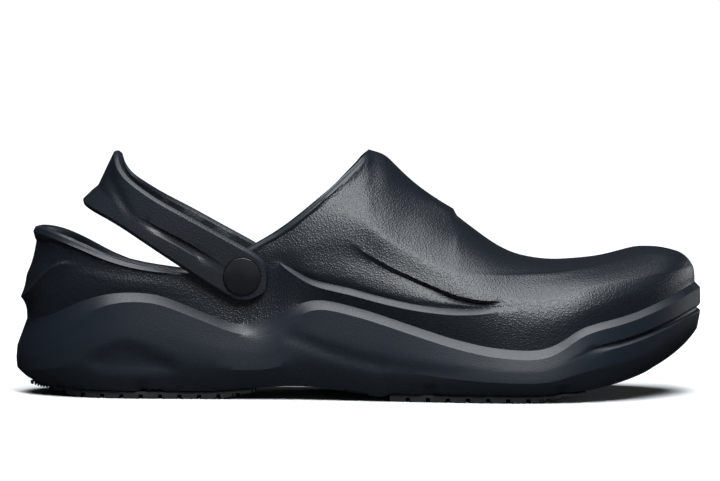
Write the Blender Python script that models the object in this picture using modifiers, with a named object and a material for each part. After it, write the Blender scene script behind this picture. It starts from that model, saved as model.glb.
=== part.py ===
"""A chef clog for the right foot, with a heel strap on two rivets.

Metres, +Z up, +X towards the toe, +Y towards the other foot (the medial side).
The origin is on the floor, under the middle of the clog.

The upper and its midsole are one foam moulding. It is lofted from columns that
stand round the plan outline. Each column starts under the sole, climbs the side
and the upper, and ends at the collar's rim or at the ridge of the vamp. The same
columns then run down inside to the footbed, so the moulding is one hollow solid.
"""

import math
from collections import namedtuple

import bmesh
import bpy
import numpy as np
from mathutils import Matrix, Vector

# Sizes of the whole clog
LENGTH = 0.300
BALL_WIDTH = 0.112
HEEL_WIDTH = 0.080
INSTEP_HEIGHT = 0.1078
HEEL_HEIGHT = 0.0729
COLLAR_HEIGHT = 0.0566
TOE_HEIGHT = 0.0646

# The moulding
WALL = 0.0036
MIDSOLE_HEIGHT = 0.0460
LEDGE_DEPTH = 0.0034
SIDE_TUCK = 0.0050
SIDE_LEAN = 0.0022
SOLE_SPRING = 0.0210
ARCH_HEIGHT = 0.0062
HEEL_STACK = 0.0210
BALL_STACK = 0.0125
FOOTBED_MARGIN = 0.0016
HEEL_TUCK = 0.0020
HEEL_RIDGE_HEIGHT = 0.0017
BUMPER_GROOVE_DEPTH = 0.0016
LEAF_DEPTH = 0.0014
LEAF_BELLY = 0.0013
VAMP_GROOVE_DEPTH = 0.0015
CREASE_DEPTH = 0.0007
TAB_HEIGHT = 0.0022
RIM_FLARE = 0.0014
MEDIAL_DROP = 0.0034

# The outsole pads
OUTSOLE_THICKNESS = 0.0034
LUG_HEIGHT = 0.0019
LUG_LENGTH = 0.0068
LUG_CHANNEL = 0.0017
PAD_INSET = 0.0012
LUG_DRAFT = 0.05

# The insole
INSOLE_THICKNESS = 0.0040
INSOLE_MARGIN = 0.0015

# The strap and its rivets
STRAP_THICKNESS = 0.0044
STRAP_LENGTH = 0.0760
STRAP_STRAIGHT = 0.0260
STRAP_END_RADIUS = 0.0114
STRAP_LIFT_DEG = 33.0
STRAP_GROOVE_DEPTH = 0.0017
STRAP_GROOVE_HALF = 0.0012
STRAP_GROOVE_SLOPE = 0.0016
STRAP_GROOVE_DROP = 0.0019
STRAP_GROOVE_FALL = 0.0025
STRAP_SCOOP_DEPTH = 0.0026
PIVOT_STATION = 0.333
PIVOT_HEIGHT = 0.0534
RIVET_RADIUS = 0.0079
RIVET_HEAD = 0.0022
RIVET_SHANK_RADIUS = 0.0034
WASHER_THICKNESS = 0.0016
COUNTERBORE_DEPTH = 0.0012

GAP = 0.0003

# How finely the forms are cut
COLUMNS = 42
STRAP_STEPS = 22
TURNS = 20

Outline = namedtuple("Outline", "station side")
Height = namedtuple("Height", "station share")
Ledge = namedtuple("Ledge", "station top band depth")
Lines = namedtuple("Lines", "station ridge groove crease")
Fade = namedtuple("Fade", "station share")
Form = namedtuple("Form", "station power")
Band = namedtuple("Band", "station low high scoop")

# The plan outline at its widest, from the heel round the outer side to the toe and
# back along the inner side. Side is a share of the local half width, minus outwards.
OUTLINE = [
    Outline(0.000, 0.00),
    Outline(0.021, -0.46),
    Outline(0.072, -0.82),
    Outline(0.150, -1.00),
    Outline(0.250, -1.02),
    Outline(0.367, -0.99),
    Outline(0.500, -0.93),
    Outline(0.617, -0.95),
    Outline(0.717, -1.00),
    Outline(0.807, -0.95),
    Outline(0.883, -0.78),
    Outline(0.947, -0.49),
    Outline(0.986, -0.16),
    Outline(1.000, 0.14),
    Outline(0.990, 0.43),
    Outline(0.953, 0.72),
    Outline(0.893, 0.91),
    Outline(0.817, 1.00),
    Outline(0.733, 0.97),
    Outline(0.633, 0.84),
    Outline(0.500, 0.75),
    Outline(0.367, 0.84),
    Outline(0.250, 0.95),
    Outline(0.150, 0.99),
    Outline(0.072, 0.82),
    Outline(0.021, 0.46),
]

# The underside of the moulding at its edge, as a share of the sole's toe spring.
UNDERSIDE = [
    Height(0.000, 0.30),
    Height(0.030, 0.25),
    Height(0.100, 0.175),
    Height(0.150, 0.162),
    Height(0.270, 0.162),
    Height(0.330, 0.21),
    Height(0.365, 0.26),
    Height(0.420, 0.285),
    Height(0.475, 0.205),
    Height(0.535, 0.088),
    Height(0.5435, 0.162),
    Height(0.750, 0.162),
    Height(0.790, 0.20),
    Height(0.840, 0.285),
    Height(0.895, 0.47),
    Height(0.950, 0.79),
    Height(0.985, 1.06),
    Height(1.000, 1.16),
]

# The tread's own line: flat under the heel and the ball, rising at both ends of each pad.
TREAD = [
    Height(0.023, 0.170),
    Height(0.055, 0.115),
    Height(0.100, 0.020),
    Height(0.140, 0.0),
    Height(0.285, 0.0),
    Height(0.330, 0.085),
    Height(0.352, 0.150),
    Height(0.500, 0.15),
    Height(0.535, 0.04),
    Height(0.555, 0.0),
    Height(0.745, 0.0),
    Height(0.785, 0.07),
    Height(0.830, 0.19),
]

# The side's top edge, which the upper stands on. Top is a share of the midsole's
# height, band and depth are shares of the ledge's depth.
LEDGE = [
    Ledge(0.000, 0.70, 3.40, 1.25),
    Ledge(0.040, 0.76, 3.10, 1.20),
    Ledge(0.085, 0.89, 2.40, 1.05),
    Ledge(0.130, 0.98, 1.45, 1.00),
    Ledge(0.165, 1.00, 1.10, 1.00),
    Ledge(0.200, 0.99, 1.05, 1.00),
    Ledge(0.240, 0.91, 1.05, 1.00),
    Ledge(0.290, 0.78, 1.05, 1.00),
    Ledge(0.330, 0.70, 1.10, 0.95),
    Ledge(0.362, 0.70, 1.50, 0.80),
    Ledge(0.395, 0.82, 1.80, 0.80),
    Ledge(0.418, 0.94, 1.20, 0.95),
    Ledge(0.440, 0.95, 1.10, 1.00),
    Ledge(0.500, 0.87, 1.10, 1.00),
    Ledge(0.570, 0.73, 1.10, 1.00),
    Ledge(0.640, 0.59, 1.10, 1.00),
    Ledge(0.700, 0.51, 1.10, 1.00),
    Ledge(0.755, 0.49, 1.10, 1.00),
    Ledge(0.785, 0.54, 1.10, 1.00),
    Ledge(0.808, 0.67, 1.00, 1.00),
    Ledge(0.835, 0.73, 0.85, 1.00),
    Ledge(0.890, 0.81, 0.80, 1.00),
    Ledge(0.950, 0.95, 0.75, 0.85),
    Ledge(1.000, 1.07, 0.72, 0.72),
]

# The collar's rim: how far it stands above the collar's lowest line, as a share of
# the heel's extra height behind that line and of the instep's before it.
RIM = [
    Height(0.000, 1.000),
    Height(0.020, 0.960),
    Height(0.050, 0.830),
    Height(0.090, 0.610),
    Height(0.125, 0.370),
    Height(0.160, 0.190),
    Height(0.195, 0.070),
    Height(0.240, 0.000),
    Height(0.262, 0.003),
    Height(0.296, 0.050),
    Height(0.341, 0.200),
    Height(0.382, 0.318),
    Height(0.416, 0.468),
    Height(0.450, 0.632),
    Height(0.484, 0.818),
    Height(0.505, 0.932),
    Height(0.519, 1.000),
]

# The vamp's ridge from the throat to the toe, without the tab, and the arch that the
# collar cuts off behind it. Shares of the height that ridge_height names.
RIDGE = [
    Height(0.000, 1.050),
    Height(0.380, 1.060),
    Height(0.519, 1.003),
    Height(0.536, 0.986),
    Height(0.554, 0.925),
    Height(0.588, 0.833),
    Height(0.620, 0.765),
    Height(0.640, 0.728),
    Height(0.660, 0.686),
    Height(0.693, 0.612),
    Height(0.728, 0.560),
    Height(0.780, 0.534),
    Height(0.832, 0.545),
    Height(0.868, 0.566),
    Height(0.903, 0.591),
    Height(1.000, 0.591),
]

# How full the upper's cross-section is: 2 is an ellipse, more is boxier.
FULLNESS = [
    Form(0.00, 2.00),
    Form(0.35, 1.95),
    Form(0.52, 1.85),
    Form(0.64, 2.15),
    Form(0.72, 2.55),
    Form(0.80, 3.00),
    Form(0.88, 3.15),
    Form(1.00, 3.00),
]

# The heights of the upper's lines, as shares of the instep's height: the ridge under
# the sunken leaf (at the heel, the ridge round its back), the groove over the leaf,
# and the crease that bounds the toe cap.
LINES = [
    Lines(0.000, 0.375, 0.480, 0.555),
    Lines(0.020, 0.420, 0.505, 0.570),
    Lines(0.050, 0.530, 0.565, 0.595),
    Lines(0.080, 0.520, 0.560, 0.590),
    Lines(0.150, 0.455, 0.490, 0.525),
    Lines(0.250, 0.420, 0.450, 0.475),
    Lines(0.330, 0.460, 0.510, 0.560),
    Lines(0.362, 0.580, 0.600, 0.620),
    Lines(0.387, 0.576, 0.605, 0.635),
    Lines(0.402, 0.524, 0.600, 0.650),
    Lines(0.414, 0.484, 0.600, 0.680),
    Lines(0.463, 0.452, 0.663, 0.760),
    Lines(0.486, 0.438, 0.624, 0.740),
    Lines(0.533, 0.405, 0.546, 0.660),
    Lines(0.581, 0.377, 0.484, 0.580),
    Lines(0.625, 0.363, 0.436, 0.525),
    Lines(0.643, 0.361, 0.419, 0.520),
    Lines(0.689, 0.363, 0.397, 0.502),
    Lines(0.702, 0.372, 0.400, 0.500),
    Lines(0.715, 0.380, 0.410, 0.499),
    Lines(0.780, 0.330, 0.420, 0.507),
    Lines(0.833, 0.380, 0.460, 0.528),
    Lines(0.877, 0.420, 0.480, 0.548),
    Lines(0.950, 0.460, 0.510, 0.575),
    Lines(1.000, 0.480, 0.520, 0.578),
]

# How strongly each raised line stands at each station: 1 is its full depth.
HEEL_RIDGE_FADE = [Fade(0.0, 1.0), Fade(0.05, 0.8), Fade(0.085, 0.0), Fade(1.0, 0.0)]
LEAF_FADE = [
    Fade(0.0, 0.0),
    Fade(0.380, 0.0),
    Fade(0.405, 0.7),
    Fade(0.430, 1.0),
    Fade(0.660, 1.0),
    Fade(0.700, 0.6),
    Fade(0.712, 0.0),
    Fade(1.0, 0.0),
]
VAMP_GROOVE_FADE = [
    Fade(0.0, 0.0),
    Fade(0.455, 0.0),
    Fade(0.500, 0.35),
    Fade(0.570, 0.7),
    Fade(0.640, 1.0),
    Fade(0.695, 1.0),
    Fade(0.708, 0.0),
    Fade(1.0, 0.0),
]
CREASE_FADE = [
    Fade(0.0, 0.0),
    Fade(0.600, 0.0),
    Fade(0.680, 0.7),
    Fade(0.800, 1.0),
    Fade(0.930, 1.0),
    Fade(0.975, 0.3),
    Fade(1.0, 0.0),
]
TAB_FADE = [
    Fade(0.0, 0.0),
    Fade(0.525, 0.0),
    Fade(0.590, 0.6),
    Fade(0.637, 1.0),
    Fade(0.643, 0.0),
    Fade(1.0, 0.0),
]
BUMPER_FADE = [Fade(0.0, 0.0), Fade(0.825, 0.0), Fade(0.855, 1.0), Fade(1.0, 1.0)]

# The side's rows from the bottom edge up to the ledge. Rise is a share of the side's
# height, tuck and ends are shares of SIDE_TUCK, the second only where the heel and toe
# are tucked in more, and lean is a share of SIDE_LEAN.
SideRow = namedtuple("SideRow", "rise tuck ends lean groove")
SIDE_ROWS = [
    SideRow(0.00, 1.00, 0.00, 0.00, 0.0),
    SideRow(0.14, 0.50, 0.08, 0.00, 0.0),
    SideRow(0.36, 0.00, 0.24, 0.00, 0.0),
    SideRow(0.64, 0.00, 0.00, 0.30, 0.0),
    SideRow(0.70, 0.00, 0.00, 0.40, 1.0),
    SideRow(0.755, 0.00, 0.00, 0.50, 0.0),
    SideRow(1.00, 0.00, 0.00, 1.00, 0.0),
]
SIDE_LEAN_GROWTH = [
    Fade(0.0, 0.3),
    Fade(0.10, 1.0),
    Fade(0.80, 1.0),
    Fade(0.92, 0.5),
    Fade(1.0, 0.15),
]
SIDE_TUCK_GROWTH = [
    Fade(0.0, 1.50),
    Fade(0.08, 1.25),
    Fade(0.18, 1.0),
    Fade(0.80, 1.0),
    Fade(0.90, 1.6),
    Fade(1.0, 2.3),
]

# The heel's back between the ledge and the rim: inset against the share of the height,
# in shares of HEEL_TUCK, minus where the back bulges.
HOLLOW = [
    Height(0.00, 0.00),
    Height(0.25, -0.70),
    Height(0.45, -0.70),
    Height(0.67, 0.35),
    Height(0.84, 0.55),
    Height(1.00, 0.45),
]
HOLLOW_FADE = [
    Fade(0.0, 1.0),
    Fade(0.05, 0.8),
    Fade(0.14, 0.3),
    Fade(0.30, 0.0),
    Fade(1.0, 0.0),
]

# The strap's edges from its pivot (station 0) to the middle of its back (station 1).
# Low and high are shares of the end's radius, scoop of the scoop's depth.
STRAP_BAND = [
    Band(0.00, -1.00, 1.00, 0.0),
    Band(0.20, -1.00, 0.90, 0.0),
    Band(0.45, -1.00, 0.78, 0.0),
    Band(0.70, -1.00, 0.65, 0.0),
    Band(0.82, -1.05, 0.66, 0.05),
    Band(0.92, -1.14, 0.80, 0.45),
    Band(0.98, -1.18, 1.10, 0.90),
    Band(1.00, -1.17, 1.24, 1.0),
]
STRAP_GROOVE_SPAN = (0.24, 0.70)

THROAT_STATION = 0.519
TAB_STATION = 0.637
FAN_HEEL = 0.25
FAN_TOE = 0.187
RIDGE_SIDE = 0.55
PAD_STATIONS = {"outsole_heel": (0.023, 0.352), "outsole_forefoot": (0.5450, 0.826)}
PAD_LUGS_ACROSS = {"outsole_heel": 5, "outsole_forefoot": 6}
RECESS_STEP = (0.5360, 0.5440)

COLOURS = {
    "foam": ((0.0085, 0.0120, 0.0175, 1.0), 0.50),
    "strap_foam": ((0.0085, 0.0120, 0.0175, 1.0), 0.48),
    "rubber": ((0.0060, 0.0065, 0.0075, 1.0), 0.62),
    "insole_foam": ((0.0120, 0.0140, 0.0170, 1.0), 0.80),
    "rivet_plastic": ((0.0040, 0.0045, 0.0055, 1.0), 0.25),
}


def along(rows, column):
    """A smooth function of the station through one column of a table, with no overshoot."""
    xs = np.array([row.station for row in rows])
    ys = np.array([getattr(row, column) for row in rows])
    slopes = np.diff(ys) / np.diff(xs)
    tangents = np.zeros(len(ys))
    product = slopes[:-1] * slopes[1:]
    total = np.where(np.abs(slopes[:-1] + slopes[1:]) < 1e-9, 1.0, slopes[:-1] + slopes[1:])
    tangents[1:-1] = np.where(product > 0, 2 * product / total, 0.0)

    def at(station):
        station = np.clip(station, xs[0], xs[-1])
        k = np.clip(np.searchsorted(xs, station) - 1, 0, len(xs) - 2)
        span = xs[k + 1] - xs[k]
        u = (station - xs[k]) / span
        start = ys[k] * (1 + 2 * u) * (1 - u) ** 2 + tangents[k] * span * u * (1 - u) ** 2
        return start + ys[k + 1] * u * u * (3 - 2 * u) + tangents[k + 1] * span * u * u * (u - 1)

    return at


def ease(low, high, value):
    """0 below low, 1 above high, and a smooth rise between them."""
    u = np.clip((value - low) / (high - low), 0.0, 1.0)
    return u * u * (3 - 2 * u)


def mix(a, b, share):
    return a + (b - a) * share


underside_share = along(UNDERSIDE, "share")
tread_share = along(TREAD, "share")
ledge_top = along(LEDGE, "top")
ledge_band = along(LEDGE, "band")
ledge_depth = along(LEDGE, "depth")
rim_share = along(RIM, "share")
ridge_share = along(RIDGE, "share")
fullness = along(FULLNESS, "power")
ridge_line = along(LINES, "ridge")
groove_line = along(LINES, "groove")
crease_line = along(LINES, "crease")
heel_ridge_fade = along(HEEL_RIDGE_FADE, "share")
leaf_fade = along(LEAF_FADE, "share")
vamp_groove_fade = along(VAMP_GROOVE_FADE, "share")
crease_fade = along(CREASE_FADE, "share")
tab_fade = along(TAB_FADE, "share")
bumper_fade = along(BUMPER_FADE, "share")
tuck_growth = along(SIDE_TUCK_GROWTH, "share")
lean_growth = along(SIDE_LEAN_GROWTH, "share")
hollow_fade = along(HOLLOW_FADE, "share")
hollow_shape = along(HOLLOW, "share")


def station_of(x):
    return x / LENGTH + 0.5


def place_of(station):
    return (station - 0.5) * LENGTH


def half_width(station):
    """Half of the heel's width behind the arch, growing to half of the ball's."""
    return mix(HEEL_WIDTH, BALL_WIDTH, ease(0.28, 0.64, station)) / 2


def underside(x):
    """The moulding's lower face. Where a pad is, it clears the pad's thickness."""
    station = station_of(x)
    arch = ease(0.352, 0.40, station) * (1 - ease(*RECESS_STEP, station))
    spring = OUTSOLE_THICKNESS + SOLE_SPRING * (underside_share(station) - 0.162)
    return mix(spring, ARCH_HEIGHT * underside_share(station) / 0.285, arch)


def tread(x):
    """The tread's lower face, which is on the floor under the heel and the ball."""
    return SOLE_SPRING * tread_share(station_of(x))


def footbed(x):
    """The floor of the inside: high under the heel and arch, low under the ball."""
    station = station_of(x)
    heel = HEEL_STACK + 0.0010 * ease(0.25, 0.42, station)
    ball = BALL_STACK + 0.45 * (underside(x) - OUTSOLE_THICKNESS) * ease(0.75, 0.9, station)
    return mix(heel, ball, ease(0.40, 0.68, station))


def rim_height(side, station):
    """The top of the collar's rim, a little lower on the inner side of the foot."""
    size = HEEL_HEIGHT if station < 0.25 else INSTEP_HEIGHT
    drop = ease(0.03, 0.16, station) * (1 - ease(0.44, 0.519, station))
    drop *= MEDIAL_DROP if side > 0 else 0.0
    return COLLAR_HEIGHT + (size - COLLAR_HEIGHT) * rim_share(station) - drop


def ridge_height(station):
    """The ridge of the vamp: instep height at the throat, toe height over the toe."""
    toe_size = TOE_HEIGHT / 0.591
    return mix(INSTEP_HEIGHT, toe_size, ease(0.55, 0.80, station)) * ridge_share(station)


def outline_points():
    """The closed outline as a fine polyline, and the index of the toe in it."""
    rough = []
    for row in OUTLINE:
        rough.append((place_of(row.station), row.side * half_width(row.station)))
    rough = np.array(rough)
    count = len(rough)
    fine = []
    steps = 24
    for k in range(count):
        a, b, c, d = (rough[(k + j) % count] for j in (-1, 0, 1, 2))
        for u in np.arange(steps) / steps:
            fine.append(
                0.5 * (2 * b + (c - a) * u + (2 * a - 5 * b + 4 * c - d) * u * u
                       + (3 * b - a - 3 * c + d) * u ** 3)
            )
    fine = np.array(fine)
    fine = np.roll(fine, -int(np.argmin(fine[:, 0])), axis=0)
    low, high = fine.min(axis=0), fine.max(axis=0)
    fine[:, 0] = (fine[:, 0] - (low[0] + high[0]) / 2) * LENGTH / (high[0] - low[0])
    fine[:, 1] *= BALL_WIDTH / 2 / np.where(fine[:, 1] < 0, -low[1], high[1])
    return fine, int(np.argmax(fine[:, 0]))


def side_outline(fine, toe, side):
    """One side of the outline from the heel to the toe, and how far along it each point is."""
    path = fine[: toe + 1] if side < 0 else np.vstack([fine[toe:], fine[:1]])[::-1]
    lengths = np.concatenate([[0.0], np.cumsum(np.linalg.norm(np.diff(path, axis=0), axis=1))])
    return path, lengths / lengths[-1]


def centre_place(x):
    """Where a column that starts at x on the outline meets the middle line."""
    u = 2 * x / LENGTH
    return x * (1 - (FAN_HEEL if x < 0 else FAN_TOE) * u * u)


class Columns:
    """The feet of the columns on both sides, and the middle points that they lean to."""

    def __init__(self):
        fine, toe = outline_points()
        paths = {side: side_outline(fine, toe, side) for side in (-1, 1)}
        shares = np.linspace(0.0, 1.0, 2001)
        places = np.zeros(len(shares))
        for path, lengths in paths.values():
            places += np.interp(shares, lengths, path[:, 0]) / 2
        middles = np.array([centre_place(x) for x in places])
        wanted = [float(np.interp(place_of(s), places, shares)) for s in RECESS_STEP]
        for station in (THROAT_STATION, TAB_STATION, TAB_STATION + 0.005):
            wanted.append(float(np.interp(place_of(station), middles, shares)))
        throat = wanted[2]
        wanted += [throat - 0.20 / COLUMNS, throat - 0.60 / COLUMNS]
        even = [k / COLUMNS for k in range(COLUMNS + 1)]
        kept = [s for s in even if all(abs(s - w) > 0.40 / COLUMNS for w in wanted)]
        self.shares = sorted(kept + wanted)
        self.throat = self.shares.index(throat)
        self.count = len(self.shares)
        self.middles = []
        self.feet = {-1: [], 1: []}
        for share in self.shares:
            x = float(np.interp(share, shares, places))
            for side, (path, lengths) in paths.items():
                self.feet[side].append(np.array([x, np.interp(x, path[:, 0], path[:, 1])]))
            low, high = self.feet[-1][-1], self.feet[1][-1]
            self.middles.append(np.array([centre_place(x), mix(low[1], high[1], RIDGE_SIDE)]))

    def point(self, side, k, inset, height):
        """A point on column k, set in from the outline towards the middle line."""
        foot, middle = self.feet[side][k], self.middles[k]
        way = middle - foot
        flat = foot + way * (inset / np.linalg.norm(way))
        return np.array([flat[0], flat[1], height])

    def reach(self, side, k):
        return float(np.linalg.norm(self.middles[k] - self.feet[side][k]))

    def station(self, side, k):
        return station_of(self.feet[side][k][0])

    def middle_station(self, k):
        return station_of(self.middles[k][0])


def ledge_of(columns, side, k):
    """(inset, height) of the ledge's lower and upper edges on a column."""
    station = columns.station(side, k)
    top = MIDSOLE_HEIGHT * ledge_top(station)
    band = LEDGE_DEPTH * ledge_band(station)
    start = SIDE_LEAN * lean_growth(station)
    return (start, top - band), (start + LEDGE_DEPTH * ledge_depth(station), top)


def base_edge(columns, side, k):
    """(inset, height) of the side's bottom edge."""
    inset = SIDE_TUCK * tuck_growth(columns.station(side, k))
    x = columns.point(side, k, inset, 0.0)[0]
    return inset, underside(x)


def arch_top(columns, side, k):
    """The highest point of a column's arch, and the angle at which the rim ends it."""
    height = ridge_height(columns.middle_station(k))
    if k >= columns.throat:
        return height, math.pi / 2
    foot = ledge_of(columns, side, k)[1][1]
    end = rim_height(side, columns.station(side, k)) - (WALL + RIM_FLARE) / 2
    share = min((end - foot) / (height - foot), 1.0)
    return height, math.asin(share ** (fullness(columns.station(side, k)) / 2))


def upper_point(columns, side, k, share, inset=0.0):
    """A point of the upper, share of the way from the ledge to its rim or ridge."""
    foot_inset, foot_height = ledge_of(columns, side, k)[1]
    top, end = arch_top(columns, side, k)
    power = 2 / fullness(columns.station(side, k))
    angle = share * end
    reach = columns.reach(side, k)
    out = foot_inset + (reach - foot_inset) * (1 - math.cos(angle) ** power)
    height = foot_height + (top - foot_height) * math.sin(angle) ** power
    rim = foot_height + (top - foot_height) * math.sin(end) ** power
    rise = (height - foot_height) / (rim - foot_height)
    if k < columns.throat:
        out += HEEL_TUCK * hollow_fade(columns.station(side, k)) * hollow_shape(rise)
    return columns.point(side, k, min(out + inset, reach), height)


def share_at_height(columns, side, k, height):
    """How far up a column's arch, as a share of its way, a height is reached."""
    foot = ledge_of(columns, side, k)[1][1]
    top, end = arch_top(columns, side, k)
    rise = min(max((height - foot) / (top - foot), 0.0), 1.0)
    return math.asin(rise ** (fullness(columns.station(side, k)) / 2)) / end


def upper_rows(columns, side, k):
    """(share, inset, lift) of each row of the upper on a column, with its lines."""
    station = columns.station(side, k)
    middle = columns.middle_station(k)
    end = arch_top(columns, side, k)[1]
    half = min(0.014 * (math.pi / 2) / end, 0.030)
    lines = [line(station) * INSTEP_HEIGHT for line in (ridge_line, groove_line, crease_line)]
    ridge, groove, crease = (share_at_height(columns, side, k, h) for h in lines)
    ridge = min(max(ridge, 3 * half), 0.78)
    groove = min(max(groove, ridge + 3 * half), 0.84)
    crease = min(max(crease, groove + 3 * half), 0.90)
    leaf = LEAF_DEPTH * leaf_fade(station)
    belly = LEAF_BELLY * leaf_fade(station)
    heel = HEEL_RIDGE_HEIGHT * heel_ridge_fade(station)
    groove_cut = (LEAF_DEPTH + VAMP_GROOVE_DEPTH) * vamp_groove_fade(station)
    crease_cut = CREASE_DEPTH * crease_fade(middle)
    tab = TAB_HEIGHT * tab_fade(middle)
    flare = RIM_FLARE * (1 - ease(columns.throat - 4, columns.throat, k))
    flare *= 1.5 - 0.5 * ease(0.0, 0.15, station)
    above = 1 - crease
    return [
        (0.0, 0.0, 0.0),
        (0.5 * ridge, 0.3 * heel - 0.55 * belly, 0.0),
        (ridge - half, -belly, 0.0),
        (ridge + half, leaf - heel, 0.0),
        (mix(ridge, groove, 0.5), mix(leaf, min(leaf, groove_cut), 0.5), 0.0),
        (groove - half, groove_cut, 0.0),
        (groove + 0.6 * half, 0.0, 0.0),
        (mix(groove, crease, 0.5), 0.0, 0.0),
        (crease - half, 0.0, 0.0),
        (crease + half, crease_cut, 0.0),
        (crease + 0.30 * above, crease_cut, 0.0),
        (crease + 0.60 * above, crease_cut, 0.0),
        (crease + 0.70 * above, crease_cut - 0.35 * flare, tab),
        (1.0, crease_cut - flare, tab),
    ]


def outer_column(columns, side, k):
    """The outside of a column: the side's rows, the ledge, then the upper's rows."""
    station = columns.station(side, k)
    edge_inset, edge_height = base_edge(columns, side, k)
    lower, _ = ledge_of(columns, side, k)
    points = []
    for row in SIDE_ROWS:
        height = mix(edge_height, lower[1], row.rise)
        inset = edge_inset * row.tuck + SIDE_LEAN * lean_growth(station) * row.lean
        inset += (edge_inset - SIDE_TUCK) * row.ends
        inset += BUMPER_GROOVE_DEPTH * row.groove * bumper_fade(station)
        points.append(columns.point(side, k, inset, height))
    for share, inset, lift in upper_rows(columns, side, k):
        points.append(upper_point(columns, side, k, share, inset) + np.array([0.0, 0.0, lift]))
    return points


def unit(vector):
    return vector / max(float(np.linalg.norm(vector)), 1e-12)


INNER_SHARES = (1.0, 0.84, 0.62, 0.40, 0.20, 0.0)


def smooth_normals(columns):
    """The outward normal at each inner row of each column, on the upper without its lines."""
    grid = {}
    for side in (-1, 1):
        for k in range(columns.count):
            grid[side, k] = [upper_point(columns, side, k, share) for share in INNER_SHARES]
    normals = {}
    for side in (-1, 1):
        for k in range(columns.count):
            row = []
            for j in range(len(INNER_SHARES)):
                before, after = max(k - 1, 0), min(k + 1, columns.count - 1)
                length_way = grid[side, after][j] - grid[side, before][j]
                if k == 0:
                    length_way = grid[1, 1][j] - grid[-1, 1][j]
                    length_way = length_way * side
                if k == columns.count - 1:
                    length_way = (grid[-1, k - 1][j] - grid[1, k - 1][j]) * side
                up_way = grid[side, k][max(j - 1, 0)] - grid[side, k][min(j + 1, len(INNER_SHARES) - 1)]
                row.append(unit(np.cross(length_way, up_way)) * -side)
            normals[side, k] = row
    for k in range(columns.throat, columns.count):
        both = unit(normals[-1, k][0] + normals[1, k][0])
        normals[-1, k][0] = normals[1, k][0] = both
    for k in (0, columns.count - 1):
        for j in range(len(INNER_SHARES)):
            both = unit(normals[-1, k][j] + normals[1, k][j])
            normals[-1, k][j] = normals[1, k][j] = both
    return grid, normals


def footbed_edge(columns, side, k, inner_low):
    """The corner between the inside wall and the footbed on a column."""
    foot, middle = columns.feet[side][k], columns.middles[k]
    way = unit(middle - foot)
    inset = float(np.dot(inner_low[:2] - foot, way)) + FOOTBED_MARGIN
    return inset


def inner_column(columns, side, k, grid, normals):
    """The inside of a column, from the rim or ridge down to the footbed's middle."""
    points = []
    for j in range(len(INNER_SHARES)):
        points.append(grid[side, k][j] - normals[side, k][j] * WALL)
    if k >= columns.throat:
        middle = columns.middles[k]
        points[0] = np.array([middle[0], middle[1], points[0][2]])
    inset = footbed_edge(columns, side, k, points[-1])
    reach = columns.reach(side, k)
    floor_edge = columns.point(side, k, inset, 0.0)
    rise = max(points[-1][2] - footbed(floor_edge[0]), 0.0)
    wall_foot = columns.point(side, k, inset - 0.4 * FOOTBED_MARGIN, footbed(floor_edge[0]) + 0.30 * rise)
    points.append(wall_foot)
    for share, lift in ((0.03, 0.0012), (0.12, 0.0), (0.55, 0.0), (1.0, 0.0)):
        flat = columns.point(side, k, mix(inset, reach, share), 0.0)
        points.append(np.array([flat[0], flat[1], footbed(flat[0]) + lift]))
    return points


def bottom_column(columns, side, k):
    """The underside of a column, from the middle line out to the bottom edge."""
    edge, _ = base_edge(columns, side, k)
    reach = columns.reach(side, k)
    points = []
    for share in (1.0, 0.5, 0.12):
        flat = columns.point(side, k, mix(edge, reach, share), 0.0)
        points.append(np.array([flat[0], flat[1], underside(flat[0])]))
    return points


def rim_beads(columns, outer, inner):
    """The rounded rim: three rows between each outer top point and its inner one."""
    last = columns.throat
    order = [(-1, k) for k in range(last + 1)] + [(1, k) for k in range(last - 1, 0, -1)]
    tops = [(outer[key][-1] + inner[key][0]) / 2 for key in order]
    beads = {}
    for index, key in enumerate(order):
        along_rim = tops[(index + 1) % len(tops)] - tops[index - 1]
        across = outer[key][-1] - inner[key][0]
        away = unit(np.cross(across, along_rim))
        if index == 0 and away[2] < 0:
            raise ValueError("the rim runs the wrong way round")
        rows = []
        for angle in (45.0, 90.0, 135.0):
            turn = math.radians(angle)
            rows.append(
                tops[index] + across / 2 * math.cos(turn)
                + away * (np.linalg.norm(across) / 2) * math.sin(turn)
            )
        beads[key] = rows
    for k in (0, last):
        beads[1, k] = beads[-1, k]
    return beads


def pivot_faces(columns):
    """The wall's outer face at the strap's pivot on each side, as a Y value."""
    x = place_of(PIVOT_STATION)
    faces = {}
    for side in (-1, 1):
        best = None
        for k in range(1, columns.throat):
            for share in np.linspace(0.0, 1.0, 21):
                point = upper_point(columns, side, k, share)
                off = math.hypot(point[0] - x, point[2] - PIVOT_HEIGHT)
                if best is None or off < best[0]:
                    best = (off, point[1])
        faces[side] = best[1]
    return faces


def flatten_boss(point, side, faces, inside):
    """Presses the wall flat under the strap's end, so that the strap seats on it."""
    lift = math.radians(STRAP_LIFT_DEG)
    way = np.array([-math.cos(lift), math.sin(lift)])
    off = np.array([point[0] - place_of(PIVOT_STATION), point[2] - PIVOT_HEIGHT])
    along_strap = min(max(float(np.dot(off, way)), 0.0), STRAP_STRAIGHT)
    away = float(np.linalg.norm(off - way * along_strap))
    flat = faces[side] - side * (WALL if inside else 0.0)
    share = 1 - ease(STRAP_END_RADIUS + 0.0010, STRAP_END_RADIUS * 1.9, away)
    return np.array([point[0], mix(point[1], flat, share), point[2]])


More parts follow.
